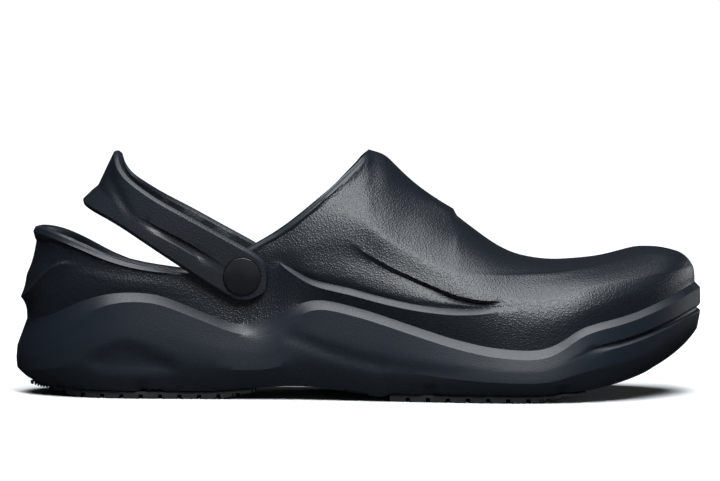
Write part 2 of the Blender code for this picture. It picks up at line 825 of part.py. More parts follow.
def mesh_object(name, verts, faces, collection, material):
    mesh = bpy.data.meshes.new(name)
    made = bmesh.new()
    corners = [made.verts.new(v) for v in verts]
    for face in faces:
        made.faces.new([corners[k] for k in face])
    bmesh.ops.remove_doubles(made, verts=made.verts, dist=2e-6)
    bmesh.ops.dissolve_degenerate(made, dist=1e-7, edges=made.edges)
    bmesh.ops.recalc_face_normals(made, faces=made.faces)
    made.to_mesh(mesh)
    made.free()
    mesh.shade_smooth()
    mesh.set_sharp_from_angle(angle=math.radians(35))
    mesh.materials.append(material)
    thing = bpy.data.objects.new(name, mesh)
    collection.objects.link(thing)
    return thing


def stitch(sheets):
    """Vertices and quads of several grids, each a list of rows of points."""
    verts, faces = [], []
    for sheet in sheets:
        start, width = len(verts), len(sheet[0])
        for row in sheet:
            verts += [tuple(point) for point in row]
        for r in range(len(sheet) - 1):
            for c in range(width - 1):
                a = start + r * width + c
                faces.append((a, a + 1, a + 1 + width, a + width))
    return verts, faces


def build_moulding(columns, faces_y, collection, material):
    """The upper and midsole in one hollow solid, open at the collar."""
    grid, normals = smooth_normals(columns)
    outer, inner = {}, {}
    for side in (-1, 1):
        for k in range(columns.count):
            rows = outer_column(columns, side, k)
            split = len(SIDE_ROWS)
            outer[side, k] = rows[:split] + [
                flatten_boss(p, side, faces_y, False) for p in rows[split:]
            ]
            rows = inner_column(columns, side, k, grid, normals)
            walls = len(INNER_SHARES)
            inner[side, k] = [
                flatten_boss(p, side, faces_y, True) for p in rows[:walls]
            ] + rows[walls:]
    for k in range(columns.count):
        if k in (0, columns.count - 1):
            outer[1, k], inner[1, k] = outer[-1, k], inner[-1, k]
        if k >= columns.throat:
            outer[1, k][-1] = outer[-1, k][-1]
            inner[1, k][0] = inner[-1, k][0]
    beads = rim_beads(columns, outer, inner)
    sheets = []
    for side in (-1, 1):
        outside = []
        for k in range(columns.count):
            foot_side = -1 if k in (0, columns.count - 1) else side
            outside.append(bottom_column(columns, foot_side, k) + outer[side, k])
        sheets.append(outside)
        sheets.append([inner[side, k] for k in range(columns.count)])
        rim = []
        for k in range(columns.throat + 1):
            rim.append([outer[side, k][-1]] + beads[side, k] + [inner[side, k][0]])
        sheets.append(rim)
    verts, faces = stitch(sheets)
    return mesh_object("upper_and_midsole", verts, faces, collection, material)


def build_insole(columns, collection, material):
    """The loose insole: a thin pad on the footbed, a little inside its edge."""
    grid, normals = smooth_normals(columns)
    sheets = []
    picked = sorted(set(range(0, columns.count, 2)) | {columns.count - 1})
    for side in (-1, 1):
        rows = []
        for k in picked:
            low = grid[side, k][-1] - normals[side, k][-1] * WALL
            edge = footbed_edge(columns, side, k, low) + INSOLE_MARGIN
            reach = columns.reach(side, k)
            row = []
            for share, lift in (
                (1.0, GAP), (0.5, GAP), (0.14, GAP), (0.05, 0.0012 + GAP),
                (0.0, 0.0022), (0.0, 0.75 * INSOLE_THICKNESS), (0.05, INSOLE_THICKNESS),
                (0.5, INSOLE_THICKNESS), (1.0, INSOLE_THICKNESS),
            ):
                flat = columns.point(side, k, mix(edge, reach, share), 0.0)
                row.append(np.array([flat[0], flat[1], footbed(flat[0]) + lift]))
            rows.append(row)
        sheets.append(rows)
    for end in (0, -1):
        sheets[1][end] = sheets[0][end]
    verts, faces = stitch(sheets)
    return mesh_object("insole", verts, faces, collection, material)


def edge_curves(columns):
    """The bottom edge of the moulding on each side, as functions of x."""
    curves = {}
    for side in (-1, 1):
        places, sides = [], []
        for k in range(columns.count):
            inset, _ = base_edge(columns, side, k)
            point = columns.point(side, k, inset + PAD_INSET, 0.0)
            places.append(point[0])
            sides.append(point[1])
        curves[side] = (np.array(places), np.array(sides))
    return lambda side, x: float(np.interp(x, *curves[side]))


def lug_stops(start, end):
    """The lines across a pad: lug, channel, lug, and so on, ending on a lug."""
    pitch = LUG_LENGTH + LUG_CHANNEL
    count = max(2, round((end - start + LUG_CHANNEL) / pitch))
    fit = (end - start + LUG_CHANNEL) / (count * pitch)
    stops = []
    for k in range(count):
        stops += [start + k * pitch * fit, start + (k * pitch + LUG_LENGTH) * fit]
    stops[-1] = end
    return stops


def build_pad(name, columns, collection, material):
    """A rubber pad: a thin plate under the moulding, with lugs drawn down from it."""
    edge = edge_curves(columns)
    first, last = (place_of(station) for station in PAD_STATIONS[name])
    stops = lug_stops(first, last)
    across = PAD_LUGS_ACROSS[name]
    channel = LUG_CHANNEL / BALL_WIDTH
    shares = []
    for k in range(across):
        lug = (1 - channel * (across - 1)) / across
        shares += [k * (lug + channel), k * (lug + channel) + lug]
    made = bmesh.new()
    under, over = [], []
    plate = OUTSOLE_THICKNESS - LUG_HEIGHT - GAP
    for x in stops:
        low, high = edge(-1, x), edge(1, x)
        top = underside(x) - GAP
        under.append([made.verts.new((x, mix(low, high, s), top - plate)) for s in shares])
        over.append([made.verts.new((x, mix(low, high, s), top)) for s in (0.0, 1.0)])
    lugs = []
    for r in range(len(stops) - 1):
        for c in range(len(shares) - 1):
            face = made.faces.new((under[r][c], under[r + 1][c], under[r + 1][c + 1], under[r][c + 1]))
            if r % 2 == 0 and c % 2 == 0:
                lugs.append(face)
        made.faces.new((over[r][0], over[r][1], over[r + 1][1], over[r + 1][0]))
        made.faces.new((over[r][0], over[r + 1][0], under[r + 1][0], under[r][0]))
        made.faces.new((over[r][1], under[r][-1], under[r + 1][-1], over[r + 1][1]))
    for row, top_row in ((under[0], over[0]), (under[-1], over[-1])):
        made.faces.new([top_row[0], *row, top_row[1]])
    bmesh.ops.recalc_face_normals(made, faces=made.faces)
    drawn = bmesh.ops.extrude_discrete_faces(made, faces=lugs)
    for face in drawn["faces"]:
        middle = face.calc_center_median()
        for vert in face.verts:
            pull = Vector((middle.x - vert.co.x, middle.y - vert.co.y, 0.0))
            vert.co += pull * LUG_DRAFT
            vert.co.z = tread(vert.co.x)
    bmesh.ops.remove_doubles(made, verts=made.verts, dist=1e-6)
    bmesh.ops.recalc_face_normals(made, faces=made.faces)
    mesh = bpy.data.meshes.new(name)
    made.to_mesh(mesh)
    made.free()
    mesh.materials.append(material)
    thing = bpy.data.objects.new(name, mesh)
    collection.objects.link(thing)
    return thing


def strap_path(faces_y):
    """Stops along the middle of the strap's thickness: (x, y, station), outer end first."""
    half_out = STRAP_THICKNESS / 2 + GAP
    low, high = faces_y[-1] - half_out, faces_y[1] + half_out
    centre, half = (low + high) / 2, (high - low) / 2
    reach = STRAP_LENGTH - STRAP_THICKNESS / 2
    bend = reach - STRAP_STRAIGHT
    power = 2 / 2.2
    ends = [STRAP_END_RADIUS * math.cos(math.radians(turn)) for turn in (4, 24, 45, 66)]
    straight = [0.0, 0.25 * STRAP_STRAIGHT, 0.62 * STRAP_STRAIGHT]
    path = [(x, low, 0.0) for x in ends] + [(-x, low, x / reach) for x in straight]
    for k in range(STRAP_STEPS + 1):
        turn = -math.pi / 2 + math.pi * k / STRAP_STEPS
        x = -STRAP_STRAIGHT - bend * abs(math.cos(turn)) ** power
        y = centre + half * math.copysign(abs(math.sin(turn)) ** power, turn)
        path.append((x, y, -x / reach))
    path += [(-x, high, x / reach) for x in reversed(straight)]
    return path + [(x, high, 0.0) for x in reversed(ends)]


def strap_section(station, x):
    """(height, outward) points round the strap's section at a stop, outer face first."""
    band = {name: along(STRAP_BAND, name)(station) for name in ("low", "high", "scoop")}
    low, high = band["low"] * STRAP_END_RADIUS, band["high"] * STRAP_END_RADIUS
    if x > 0:
        high = math.sqrt(max(STRAP_END_RADIUS ** 2 - x * x, 0.0))
        low = -high
    half = STRAP_THICKNESS / 2
    first, last = STRAP_GROOVE_SPAN
    fade = ease(first - 0.03, first + 0.01, station) * (1 - ease(last - 0.25, last, station))
    cut = STRAP_GROOVE_DEPTH * fade
    scoop = STRAP_SCOOP_DEPTH * band["scoop"]
    corner = min(0.0013, (high - low) / 6)
    groove = -STRAP_GROOVE_DROP - STRAP_GROOVE_FALL * ease(0.25, 0.75, station)
    wide = STRAP_GROOVE_HALF * (1 - 0.35 * ease(0.3, 0.7, station))
    rows = [(low, -half + corner), (low, half - corner), (low + corner, half)]
    middle = (low + high) / 2
    spans = (high - low) / 2 - corner
    foot = -0.3 * wide
    wall = STRAP_GROOVE_SLOPE / 4
    edges = [(foot - STRAP_GROOVE_SLOPE, 0.0), (foot, cut), (wide, cut), (wide + wall, 0.0)]
    for offset, depth in edges:
        at = np.clip(groove + offset, middle - 0.9 * spans, middle + 0.9 * spans)
        rows.append((float(at), half - depth))
    rows += [(high - corner, half), (high, half - corner), (high, -half + corner)]
    rows += [(high - corner, -half), (middle, -half), (low + corner, -half)]
    shaped = []
    for height, out in rows:
        share = (height - low) / (high - low)
        dip = math.sin(math.pi * min(max((share - 0.12) / 0.70, 0.0), 1.0)) ** 1.4
        shaped.append((height, out - scoop * dip))
    return shaped


def strap_frame():
    """Carries the strap's own frame, pivot at the origin, to its lifted place."""
    pivot = Vector((place_of(PIVOT_STATION), 0.0, PIVOT_HEIGHT))
    return Matrix.Translation(pivot) @ Matrix.Rotation(math.radians(STRAP_LIFT_DEG), 4, "Y")


def build_strap(faces_y, collection, material):
    """The heel strap: a band bent round the heel, with a round end on each rivet."""
    path = strap_path(faces_y)
    rings = []
    for index, (x, y, station) in enumerate(path):
        before, after = path[max(index - 1, 0)], path[min(index + 1, len(path) - 1)]
        way = unit(np.array([after[0] - before[0], after[1] - before[1]]))
        if station * STRAP_LENGTH < 0.9 * STRAP_STRAIGHT:
            way = np.array([-1.0, 0.0]) if index < len(path) / 2 else np.array([1.0, 0.0])
        out = np.array([way[1], -way[0]]) * -1
        ring = []
        for height, reach in strap_section(station, x):
            ring.append((x + out[0] * reach, y + out[1] * reach, height))
        rings.append(ring)
    verts = [point for ring in rings for point in ring]
    size = len(rings[0])
    faces = []
    for r in range(len(rings) - 1):
        for c in range(size):
            d = (c + 1) % size
            faces.append((r * size + c, r * size + d, (r + 1) * size + d, (r + 1) * size + c))
    faces.append(tuple(range(size)))
    faces.append(tuple((len(rings) - 1) * size + c for c in range(size)))
    strap = mesh_object("heel_strap", verts, faces, collection, material)
    strap.matrix_world = strap_frame()
    return strap


def turned(name, profile, collection, material):
    """A solid turned about +Z from (radius, height) points, down its outer side.

    A profile that doesn't end on the axis is closed on itself, as for a ring.
    """
    mesh = bpy.data.meshes.new(name)
    edges = [(k, k + 1) for k in range(len(profile) - 1)]
    if profile[-1][0] > 0:
        edges.append((len(profile) - 1, 0))
    mesh.from_pydata([(r, 0.0, z) for r, z in profile], edges, [])
    thing = bpy.data.objects.new(name, mesh)
    collection.objects.link(thing)
    screw = thing.modifiers.new("turn", "SCREW")
    screw.steps = screw.render_steps = TURNS
    screw.use_merge_vertices = True
    screw.merge_threshold = 0.00001
    screw.use_smooth_shade = True
    mesh.materials.append(material)
    return thing


def place_on_axis(thing, side, y):
    """Stands a turned piece on the pivot's axis, its +Z pointing out of that side."""
    spin = Matrix.Rotation(math.radians(90 if side < 0 else -90), 4, "X")
    where = Matrix.Translation((place_of(PIVOT_STATION), y, PIVOT_HEIGHT))
    thing.matrix_world = where @ spin


def build_rivet(side, faces_y, collection, material):
    """A rivet: a domed head in the strap's counterbore, and a washer inside the wall."""
    label = "outer" if side < 0 else "inner"
    seat = STRAP_THICKNESS + GAP - COUNTERBORE_DEPTH + GAP
    through = seat + WALL + 2 * GAP + WASHER_THICKNESS
    head = turned(
        "rivet_" + label,
        [
            (0.0, RIVET_HEAD),
            (0.60 * RIVET_RADIUS, 0.92 * RIVET_HEAD),
            (0.92 * RIVET_RADIUS, 0.62 * RIVET_HEAD),
            (RIVET_RADIUS, 0.20 * RIVET_HEAD),
            (RIVET_RADIUS, 0.0),
            (RIVET_SHANK_RADIUS, 0.0),
            (RIVET_SHANK_RADIUS, -through),
            (0.0, -through),
        ],
        collection,
        material,
    )
    place_on_axis(head, side, faces_y[side] + side * seat)
    inner = RIVET_SHANK_RADIUS + GAP
    washer = turned(
        "washer_" + label,
        [
            (inner, 0.0),
            (RIVET_RADIUS, 0.0),
            (RIVET_RADIUS, -0.5 * WASHER_THICKNESS),
            (0.85 * RIVET_RADIUS, -WASHER_THICKNESS),
            (inner, -WASHER_THICKNESS),
        ],
        collection,
        material,
    )
    place_on_axis(washer, side, faces_y[side] - side * (WALL + GAP))
    return head, washer


def cylinder_cutter(name, radius, depth, side, y, collection):
    """A cylinder on the pivot's axis, from y outwards, that cuts a bore."""
    mesh = bpy.data.meshes.new(name)
    made = bmesh.new()
    bmesh.ops.create_cone(
        made, cap_ends=True, segments=TURNS, radius1=radius, radius2=radius, depth=depth
    )
    made.to_mesh(mesh)
    made.free()
    thing = bpy.data.objects.new(name, mesh)
    collection.objects.link(thing)
    place_on_axis(thing, side, y + side * depth / 2)
    thing.hide_render = True
    thing.display_type = "WIRE"
    return thing


def cut(thing, cutter):
    modifier = thing.modifiers.new(cutter.name, "BOOLEAN")
    modifier.operation = "DIFFERENCE"
    modifier.object = cutter
    modifier.solver = "EXACT"


def make_material(name):
    colour, roughness = COLOURS[name]
    material = bpy.data.materials.new(name)
    material.use_nodes = True
    shader = material.node_tree.nodes["Principled BSDF"]
    shader.inputs["Base Color"].default_value = colour
    shader.inputs["Roughness"].default_value = roughness
    shader.inputs["Metallic"].default_value = 0.0
    return material


def main():
    for thing in list(bpy.data.objects):
        bpy.data.objects.remove(thing)
    clog = bpy.data.collections.new("chef_clog")
    cutters = bpy.data.collections.new("cutters")
    for collection in (clog, cutters):
        bpy.context.scene.collection.children.link(collection)
    materials = {name: make_material(name) for name in COLOURS}
    columns = Columns()
    faces_y = pivot_faces(columns)
    moulding = build_moulding(columns, faces_y, clog, materials["foam"])
    build_insole(columns, clog, materials["insole_foam"])
    for name in PAD_STATIONS:
        build_pad(name, columns, clog, materials["rubber"])
    strap = build_strap(faces_y, clog, materials["strap_foam"])
    bore = RIVET_SHANK_RADIUS + GAP
    for side in (-1, 1):
        label = "outer" if side < 0 else "inner"
        build_rivet(side, faces_y, clog, materials["rivet_plastic"])
        wall_bore = cylinder_cutter(
            "wall_bore_" + label, bore, 4 * WALL, side, faces_y[side] - side * 2.5 * WALL, cutters
        )
        strap_bore = cylinder_cutter(
            "strap_bore_" + label, bore, 3 * STRAP_THICKNESS, side,
            faces_y[side] - side * STRAP_THICKNESS, cutters,
        )
        counterbore = cylinder_cutter(
            "counterbore_" + label, RIVET_RADIUS + GAP, 3 * STRAP_THICKNESS, side,
            faces_y[side] + side * (STRAP_THICKNESS + GAP - COUNTERBORE_DEPTH), cutters,
        )
        cut(moulding, wall_bore)
        cut(strap, strap_bore)
        cut(strap, counterbore)


main()
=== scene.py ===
# %% [markdown]
# # A moulded work clog, dressed for its picture
#
# The clog is one foam moulding that is upper and midsole at once, a foam strap that
# swings on two rivets, two rubber pads underneath, and a loose insole. The exact solids
# come packed as a frame. This lesson takes each solid, gives it the soft edges and the
# small relief of the real thing, and then a surface.
#
# All lengths are metres, with +X to the toe, +Y to the inner side and +Z up.

import math

import bmesh
import bpy
import numpy as np
from mathutils import Matrix, Vector


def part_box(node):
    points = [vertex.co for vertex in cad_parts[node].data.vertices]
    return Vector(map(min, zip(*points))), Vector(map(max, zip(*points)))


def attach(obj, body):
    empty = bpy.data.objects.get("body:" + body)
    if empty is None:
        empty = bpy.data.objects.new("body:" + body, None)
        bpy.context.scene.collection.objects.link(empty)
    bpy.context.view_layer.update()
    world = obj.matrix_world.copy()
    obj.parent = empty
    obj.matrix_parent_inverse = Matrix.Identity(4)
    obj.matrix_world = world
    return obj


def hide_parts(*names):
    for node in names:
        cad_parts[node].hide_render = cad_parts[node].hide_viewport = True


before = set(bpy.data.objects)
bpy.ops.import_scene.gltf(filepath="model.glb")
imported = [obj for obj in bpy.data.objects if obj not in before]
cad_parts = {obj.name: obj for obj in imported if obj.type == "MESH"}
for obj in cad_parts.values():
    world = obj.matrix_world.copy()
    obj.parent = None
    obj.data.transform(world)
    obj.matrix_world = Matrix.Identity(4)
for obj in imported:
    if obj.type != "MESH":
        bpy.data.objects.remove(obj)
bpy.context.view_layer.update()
MM = 0.001
print("solids:", ", ".join(sorted(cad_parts)))

# %% [markdown]
# ## Working on a copy
#
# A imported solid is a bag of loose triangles. Before anything can be smoothed, its points
# have to be joined and its triangles paired back into the quads that they came from, as
# you would with Merge by Distance and Tris to Quads. Blender's operators act on whatever
# is selected, so every step starts by selecting one object only.


# %% Joined-up copies of the solids
def only(piece):
    """Leaves one object selected and active, in object mode."""
    if bpy.context.object and bpy.context.object.mode != "OBJECT":
        bpy.ops.object.mode_set(mode="OBJECT")
    bpy.ops.object.select_all(action="DESELECT")
    piece.select_set(True)
    bpy.context.view_layer.objects.active = piece


def joined_copy(node, name, pair_angle=40):
    """A piece with the solid's shape, its triangles joined and paired into quads."""
    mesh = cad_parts[node].data.copy()
    piece = bpy.data.objects.new(name, mesh)
    bpy.context.scene.collection.objects.link(piece)
    mesh.name = name
    mesh.materials.clear()
    only(piece)
    bpy.ops.object.mode_set(mode="EDIT")
    bpy.ops.mesh.select_all(action="SELECT")
    bpy.ops.mesh.remove_doubles(threshold=0.001 * MM)
    bpy.ops.mesh.tris_convert_to_quads(
        face_threshold=math.radians(pair_angle), shape_threshold=math.radians(pair_angle)
    )
    bpy.ops.object.mode_set(mode="OBJECT")
    bpy.ops.mesh.customdata_custom_splitnormals_clear()
    quads = sum(len(face.vertices) == 4 for face in mesh.polygons)
    print(name, "has", len(mesh.polygons), "faces, of which quads", quads)
    return piece


moulding = joined_copy("upper_and_midsole", "clog_moulding")

# %% [markdown]
# ## Soft surfaces with crisp lines
#
# Subdivision Surface rounds everything. The clog's lines, such as the ledge round the
# sole, are crisp, so their edges get a crease first: the closer its value is to one, the
# sharper the line stays. The edges are found by the angle between their two faces.


# %% Creases and subdivision
def choose_edges(piece, wanted):
    """Leaves selected, in edit mode, the selected edges that wanted(edge) is true for."""
    form = bmesh.from_edit_mesh(piece.data)
    for edge in form.edges:
        edge.select_set(edge.select and wanted(edge))
    bmesh.update_edit_mesh(piece.data)


def middle(edge):
    """The middle point of an edge."""
    return (edge.verts[0].co + edge.verts[1].co) / 2


def crease_sharp_edges(piece, line_angle, crease, soft_part=None):
    """Creases the edges sharper than line_angle, apart from those in the soft part."""
    only(piece)
    bpy.ops.object.mode_set(mode="EDIT")
    bpy.ops.mesh.select_mode(type="EDGE")
    bpy.ops.mesh.select_all(action="DESELECT")
    bpy.ops.mesh.edges_select_sharp(sharpness=math.radians(line_angle))
    if soft_part:
        choose_edges(piece, lambda edge: not soft_part(middle(edge)))
    bpy.ops.transform.edge_crease(value=crease)
    bpy.ops.object.mode_set(mode="OBJECT")


def subdivide(piece, levels, shade_angle=24):
    """Applies a subdivision and shades all but the sharpest edges smooth."""
    only(piece)
    rounding = piece.modifiers.new("rounding", "SUBSURF")
    rounding.levels = rounding.render_levels = levels
    bpy.ops.object.modifier_apply(modifier=rounding.name)
    bpy.ops.object.shade_smooth_by_angle(angle=math.radians(shade_angle))
    print(piece.name, "has", len(piece.data.polygons), "faces after rounding")


# %% [markdown]
# ## Where the mould's finish changes
#
# A mould has more than one finish: a pebbled grain on the upper, a finer one on the
# sidewall, and polished bands where the tool was cut clean, such as the ledge and the
# rim. A face's place and slope say which it is, so each face gets one of four material
# slots before the surface is rounded.

# %% Lines of the moulding, in millimetres
# The ledge: x, height of its top edge, height of the band under that edge.
LEDGE = [
    (-150, 32.2, 11.6), (-138, 35.0, 10.5), (-124.5, 40.9, 8.2), (-111, 45.1, 4.9),
    (-100.5, 46.0, 3.7), (-90, 45.5, 3.6), (-78, 41.9, 3.6), (-63, 35.9, 3.6),
    (-51, 32.2, 3.7), (-41.4, 32.2, 5.1), (-31.5, 37.7, 6.1), (-24.6, 43.2, 4.1),
    (-18, 43.7, 3.7), (0, 40.0, 3.7), (21, 33.6, 3.7), (42, 27.1, 3.7),
    (60, 23.5, 3.7), (76.5, 22.5, 3.7), (85.5, 24.8, 3.7), (92.4, 30.8, 3.4),
    (100.5, 33.6, 2.9), (117, 37.3, 2.7), (135, 43.7, 2.6), (150, 49.2, 2.4),
]
# The leaf panel's lower edge: x, height.
LEAF = [
    (-34, 62.1), (-29.4, 56.5), (-25.8, 52.2), (-11.1, 48.7), (-4.2, 47.2), (9.9, 43.7),
    (24.3, 40.6), (37.5, 39.1), (42.9, 38.9), (56.7, 39.1), (60.6, 40.1), (64.5, 41.0),
]
# The collar's rim on the outer side, which the inner side's is a little lower than:
# x, height.
RIM = [
    (-150, 72.9), (-144, 72.2), (-135, 70.1), (-123, 66.5), (-112.5, 62.6), (-101.5, 59.7),
    (-91.5, 57.7), (-78, 56.6), (-71.4, 56.7), (-61.2, 59.2), (-47.7, 66.8), (-35.4, 72.9),
    (-25.2, 80.6), (-15, 89.0), (-4.8, 98.5), (1.5, 104.3), (5.7, 107.8),
]

# %% Which finish a face has
# A line through the middle of the foot's room: from x, to x, height.
CORE = (-110 * MM, 115 * MM, 36 * MM)
# Where the ledge fades out: from x, to x.
WAIST = (-43 * MM, -31 * MM)
# The collar's peak and the end of the ridge behind the heel: from x, to x, above height.
THROAT = (-14 * MM, 22 * MM, 78 * MM)
HEEL_RIDGE_END = (-134 * MM, -112 * MM, 44 * MM)
THROAT_RIDGE = 4 * MM
LEAF_REACH = 2.4 * MM
LEAF_SLOPE = 0.6
RIM_REACH = 3.2 * MM
ON_THE_LINE = 0.1 * MM
# The moulding's material slots: pebbled upper, fine sidewall, polished band, inside.
UPPER, SIDE, BAND, INSIDE = range(4)
FINISHES = ("upper", "side", "band", "inside")


def on_line(table, x, column=1):
    """A table's value at a length along the clog, both in metres."""
    return np.interp(x / MM, [row[0] for row in table], [row[column] for row in table]) * MM


def faces_out(centre, normal):
    """Whether a face is on the outside of the moulding, not in the foot's room."""
    start, end, height = CORE
    core = Vector((max(start, min(end, centre.x)), 0.0, height))
    return normal.dot(centre - core) > 0


def near_rim(centre):
    """Whether a point is in the band of the collar's rim."""
    if centre.x > RIM[-1][0] * MM:
        return False
    slope = (on_line(RIM, centre.x + MM) - on_line(RIM, centre.x - MM)) / (2 * MM)
    return on_line(RIM, centre.x) - centre.z < RIM_REACH * math.hypot(1, slope)


def finish_of(centre, normal):
    """The material slot of a face, by its place and slope."""
    top = on_line(LEDGE, centre.x)
    band = on_line(LEDGE, centre.x, 2)
    if near_rim(centre):
        return BAND
    if not faces_out(centre, normal):
        return INSIDE
    if centre.z < top - band + ON_THE_LINE:
        return SIDE
    if centre.z < top - ON_THE_LINE:
        return BAND
    near_leaf = abs(centre.z - on_line(LEAF, centre.x)) < LEAF_REACH
    on_leaf = LEAF[0][0] * MM < centre.x < LEAF[-1][0] * MM and near_leaf
    return BAND if on_leaf and normal.z > LEAF_SLOPE else UPPER


def at_throat(place):
    """Whether a place is at the collar's peak, over the instep."""
    start, end, height = THROAT
    return start < place.x < end and place.z > height


def is_soft(place):
    """The parts with no crisp line at all: the collar's peak, and the heel ridge's end."""
    start, end, height = HEEL_RIDGE_END
    at_ridge_end = start < place.x < end and place.z > height and not near_rim(place)
    return at_throat(place) or at_ridge_end


def smooth_throat(piece, repeat):
    """Evens out the outside points at the collar's peak, away from the rim and top."""
    only(piece)
    bpy.ops.object.mode_set(mode="EDIT")
    bpy.ops.mesh.select_mode(type="VERT")
    bpy.ops.mesh.select_all(action="DESELECT")
    form = bmesh.from_edit_mesh(piece.data)
    for point in form.verts:
        place = point.co
        chosen = at_throat(place) and abs(place.y) > THROAT_RIDGE and not near_rim(place)
        point.select_set(chosen and faces_out(place, point.normal))
    bmesh.update_edit_mesh(piece.data)
    bpy.ops.mesh.vertices_smooth(factor=0.5, repeat=repeat)
    bpy.ops.object.mode_set(mode="OBJECT")


def is_finish_line(edge):
    """An edge where the finish changes, other than at the rim and at the waist."""
    place = middle(edge)
    slots = {face.material_index for face in edge.link_faces}
    at_waist = WAIST[0] < place.x < WAIST[1] and place.z < on_line(LEDGE, place.x) + MM
    return len(slots) > 1 and INSIDE not in slots and not near_rim(place) and not at_waist


# %% Split the moulding's faces into four finishes and round it
for finish in FINISHES:
    moulding.data.materials.append(None)
for face in moulding.data.polygons:
    face.material_index = finish_of(face.center, face.normal)
for index, finish in enumerate(FINISHES):
    count = sum(face.material_index == index for face in moulding.data.polygons)
    print("faces of the", finish, "finish:", count)
smooth_throat(moulding, repeat=4)
crease_sharp_edges(moulding, line_angle=26, crease=0.85, soft_part=is_soft)
bpy.ops.object.mode_set(mode="EDIT")
bpy.ops.mesh.select_all(action="SELECT")
choose_edges(moulding, is_finish_line)
bpy.ops.transform.edge_crease(value=1.0)
bpy.ops.object.mode_set(mode="OBJECT")
subdivide(moulding, levels=2)

# %% [markdown]
# ## Small relief, pressed in along listed lines
#
# Some of the mould's relief is too slight for the solids: a shallow hollow in the heel's
# side, a long valley along the waist, a faint raised line over the toe, short notches
# over the pads. A sculptor would work these in with a brush. Here each one is a line or
# an outline seen from the side, and the outside points near it move inwards along their
# normals, most on the line and less and less away from it. A depth below zero raises the
# surface. The rim's outer edge is different: it rolls inwards without losing height, so
# its points move sideways only.


# %% Tools that press lines and hollows into a surface
def points_of(piece):
    """A piece's points and their normals, as arrays."""
    count = len(piece.data.vertices)
    points, normals = np.empty(count * 3), np.empty(count * 3)
    piece.data.vertices.foreach_get("co", points)
    piece.data.vertices.foreach_get("normal", normals)
    return points.reshape(-1, 3), normals.reshape(-1, 3)


def put_back(piece, points):
    """Writes moved points back to a piece."""
    piece.data.vertices.foreach_set("co", points.ravel())
    piece.data.update()


def ease(share):
    """0 to 1 with a gentle start and end."""
    share = np.clip(share, 0.0, 1.0)
    return share * share * (3 - 2 * share)


def line_press(along, up, line, above, below):
    """How hard a line of (along, height, depth) presses each point, in metres."""
    at, height, depth = (np.array(column) * MM for column in zip(*line))
    rise = up - np.interp(along, at, height)
    reach = np.where(rise > 0, above, below)
    strength = np.interp(along, at, depth, left=0.0, right=0.0)
    return strength * ease(1 - np.abs(rise) / reach)


def hollow_press(along, up, outline, depth, edge):
    """How hard a closed outline of (along, height) presses: nothing outside it."""
    corners = np.array(outline) * MM
    inside = np.zeros(len(along), bool)
    nearest = np.full(len(along), np.inf)
    for (x0, z0), (x1, z1) in zip(corners, np.roll(corners, -1, axis=0)):
        crosses = (z0 > up) != (z1 > up)
        run = np.where(crosses, (up - z0) / np.where(z1 == z0, 1.0, z1 - z0), 0.0)
        inside ^= crosses & (along < x0 + run * (x1 - x0))
        side = np.array([x1 - x0, z1 - z0])
        share = np.clip(((along - x0) * side[0] + (up - z0) * side[1]) / side.dot(side), 0, 1)
        gap = np.hypot(along - x0 - share * side[0], up - z0 - share * side[1])
        nearest = np.minimum(nearest, gap)
    return np.where(inside, depth * ease(nearest / edge), 0.0)


# %% Lines and outlines of the relief
# Each line is x, height and depth, each outline x and height, all in millimetres.
WAIST_VALLEY = [
    (-34, 29.5, 0.0), (-29, 27.6, 0.5), (-13, 21.4, 0.9), (0, 17.8, 0.9), (17, 14.3, 0.8),
    (34, 12.4, 0.5), (50, 11.0, 0.0),
]
TOE_CREASE = [
    (39, 56.0, 0.0), (51, 54.6, -0.25), (64, 54.0, -0.4), (85, 54.6, -0.45), (101, 57.0, -0.45),
    (114, 59.6, -0.4), (124, 61.5, 0.0),
]
BUMPER_GROOVE = [
    (97, 22.8, 0.0), (99.5, 23.8, 0.5), (116, 27.2, 0.5), (131, 31.4, 0.5), (147, 37.4, 0.4),
    (150, 38.5, 0.4),
]
HEEL_HOLLOW = [
    (-121, 17.0), (-114, 21.5), (-107, 25.4), (-101, 26.6), (-92, 24.6), (-84, 20.8),
    (-74, 15.4), (-80, 9.5), (-112, 9.5),
]
# The leaf swells just above its lower edge, and sinks a little farther up.
LEAF_CROWN = [
    (-30, 58.0, 0.0), (-20, 53.5, -0.8), (0, 48.6, -0.8), (24, 43.6, -0.6), (45, 41.6, -0.4),
    (60, 42.0, 0.0),
]
LEAF_SINK = [
    (-22, 71.0, 0.0), (-8, 68.5, 0.4), (3, 64.5, 0.7), (24, 54.0, 0.5), (42, 47.0, 0.0),
]
# Lines that press on all the outside: the line, and how far it reaches up and down.
LINE_PRESSES = [
    (WAIST_VALLEY, 5.0, 4.0), (BUMPER_GROOVE, 0.7, 0.9), (LEAF_CROWN, 12.0, 1.2),
    (LEAF_SINK, 13.0, 14.0),
]
TOE_CREASE_REACH = (0.9 * MM, 2.2 * MM)
HEEL_HOLLOW_DEPTH = 1.7 * MM
HEEL_HOLLOW_EDGE = 6.0 * MM
# The notches over the pads: x, half width.
NOTCHES = [(-93.5, 2.6), (29.8, 2.6), (88.3, 2.4)]
NOTCH_TOP = 8.2 * MM
NOTCH_DEPTH = 1.2 * MM
NOTCH_SIDE = 0.9 * MM
NOTCH_FADE = 1.5 * MM
# How far the rim's outer edge rolls inwards: x, width.
RIM_ROLL = [(-150, 0.8), (-84, 0.8), (-72, 1.5), (4, 1.5), (5.7, 0.0)]
RIM_ABOVE = 1.5 * MM
# Parts of a normal: sideways for the whole roll, up for the toe's top, down for a flat.
FULL_ROLL = 0.6
TOP_LEAN = 0.2
FLAT_LEAN = 0.97

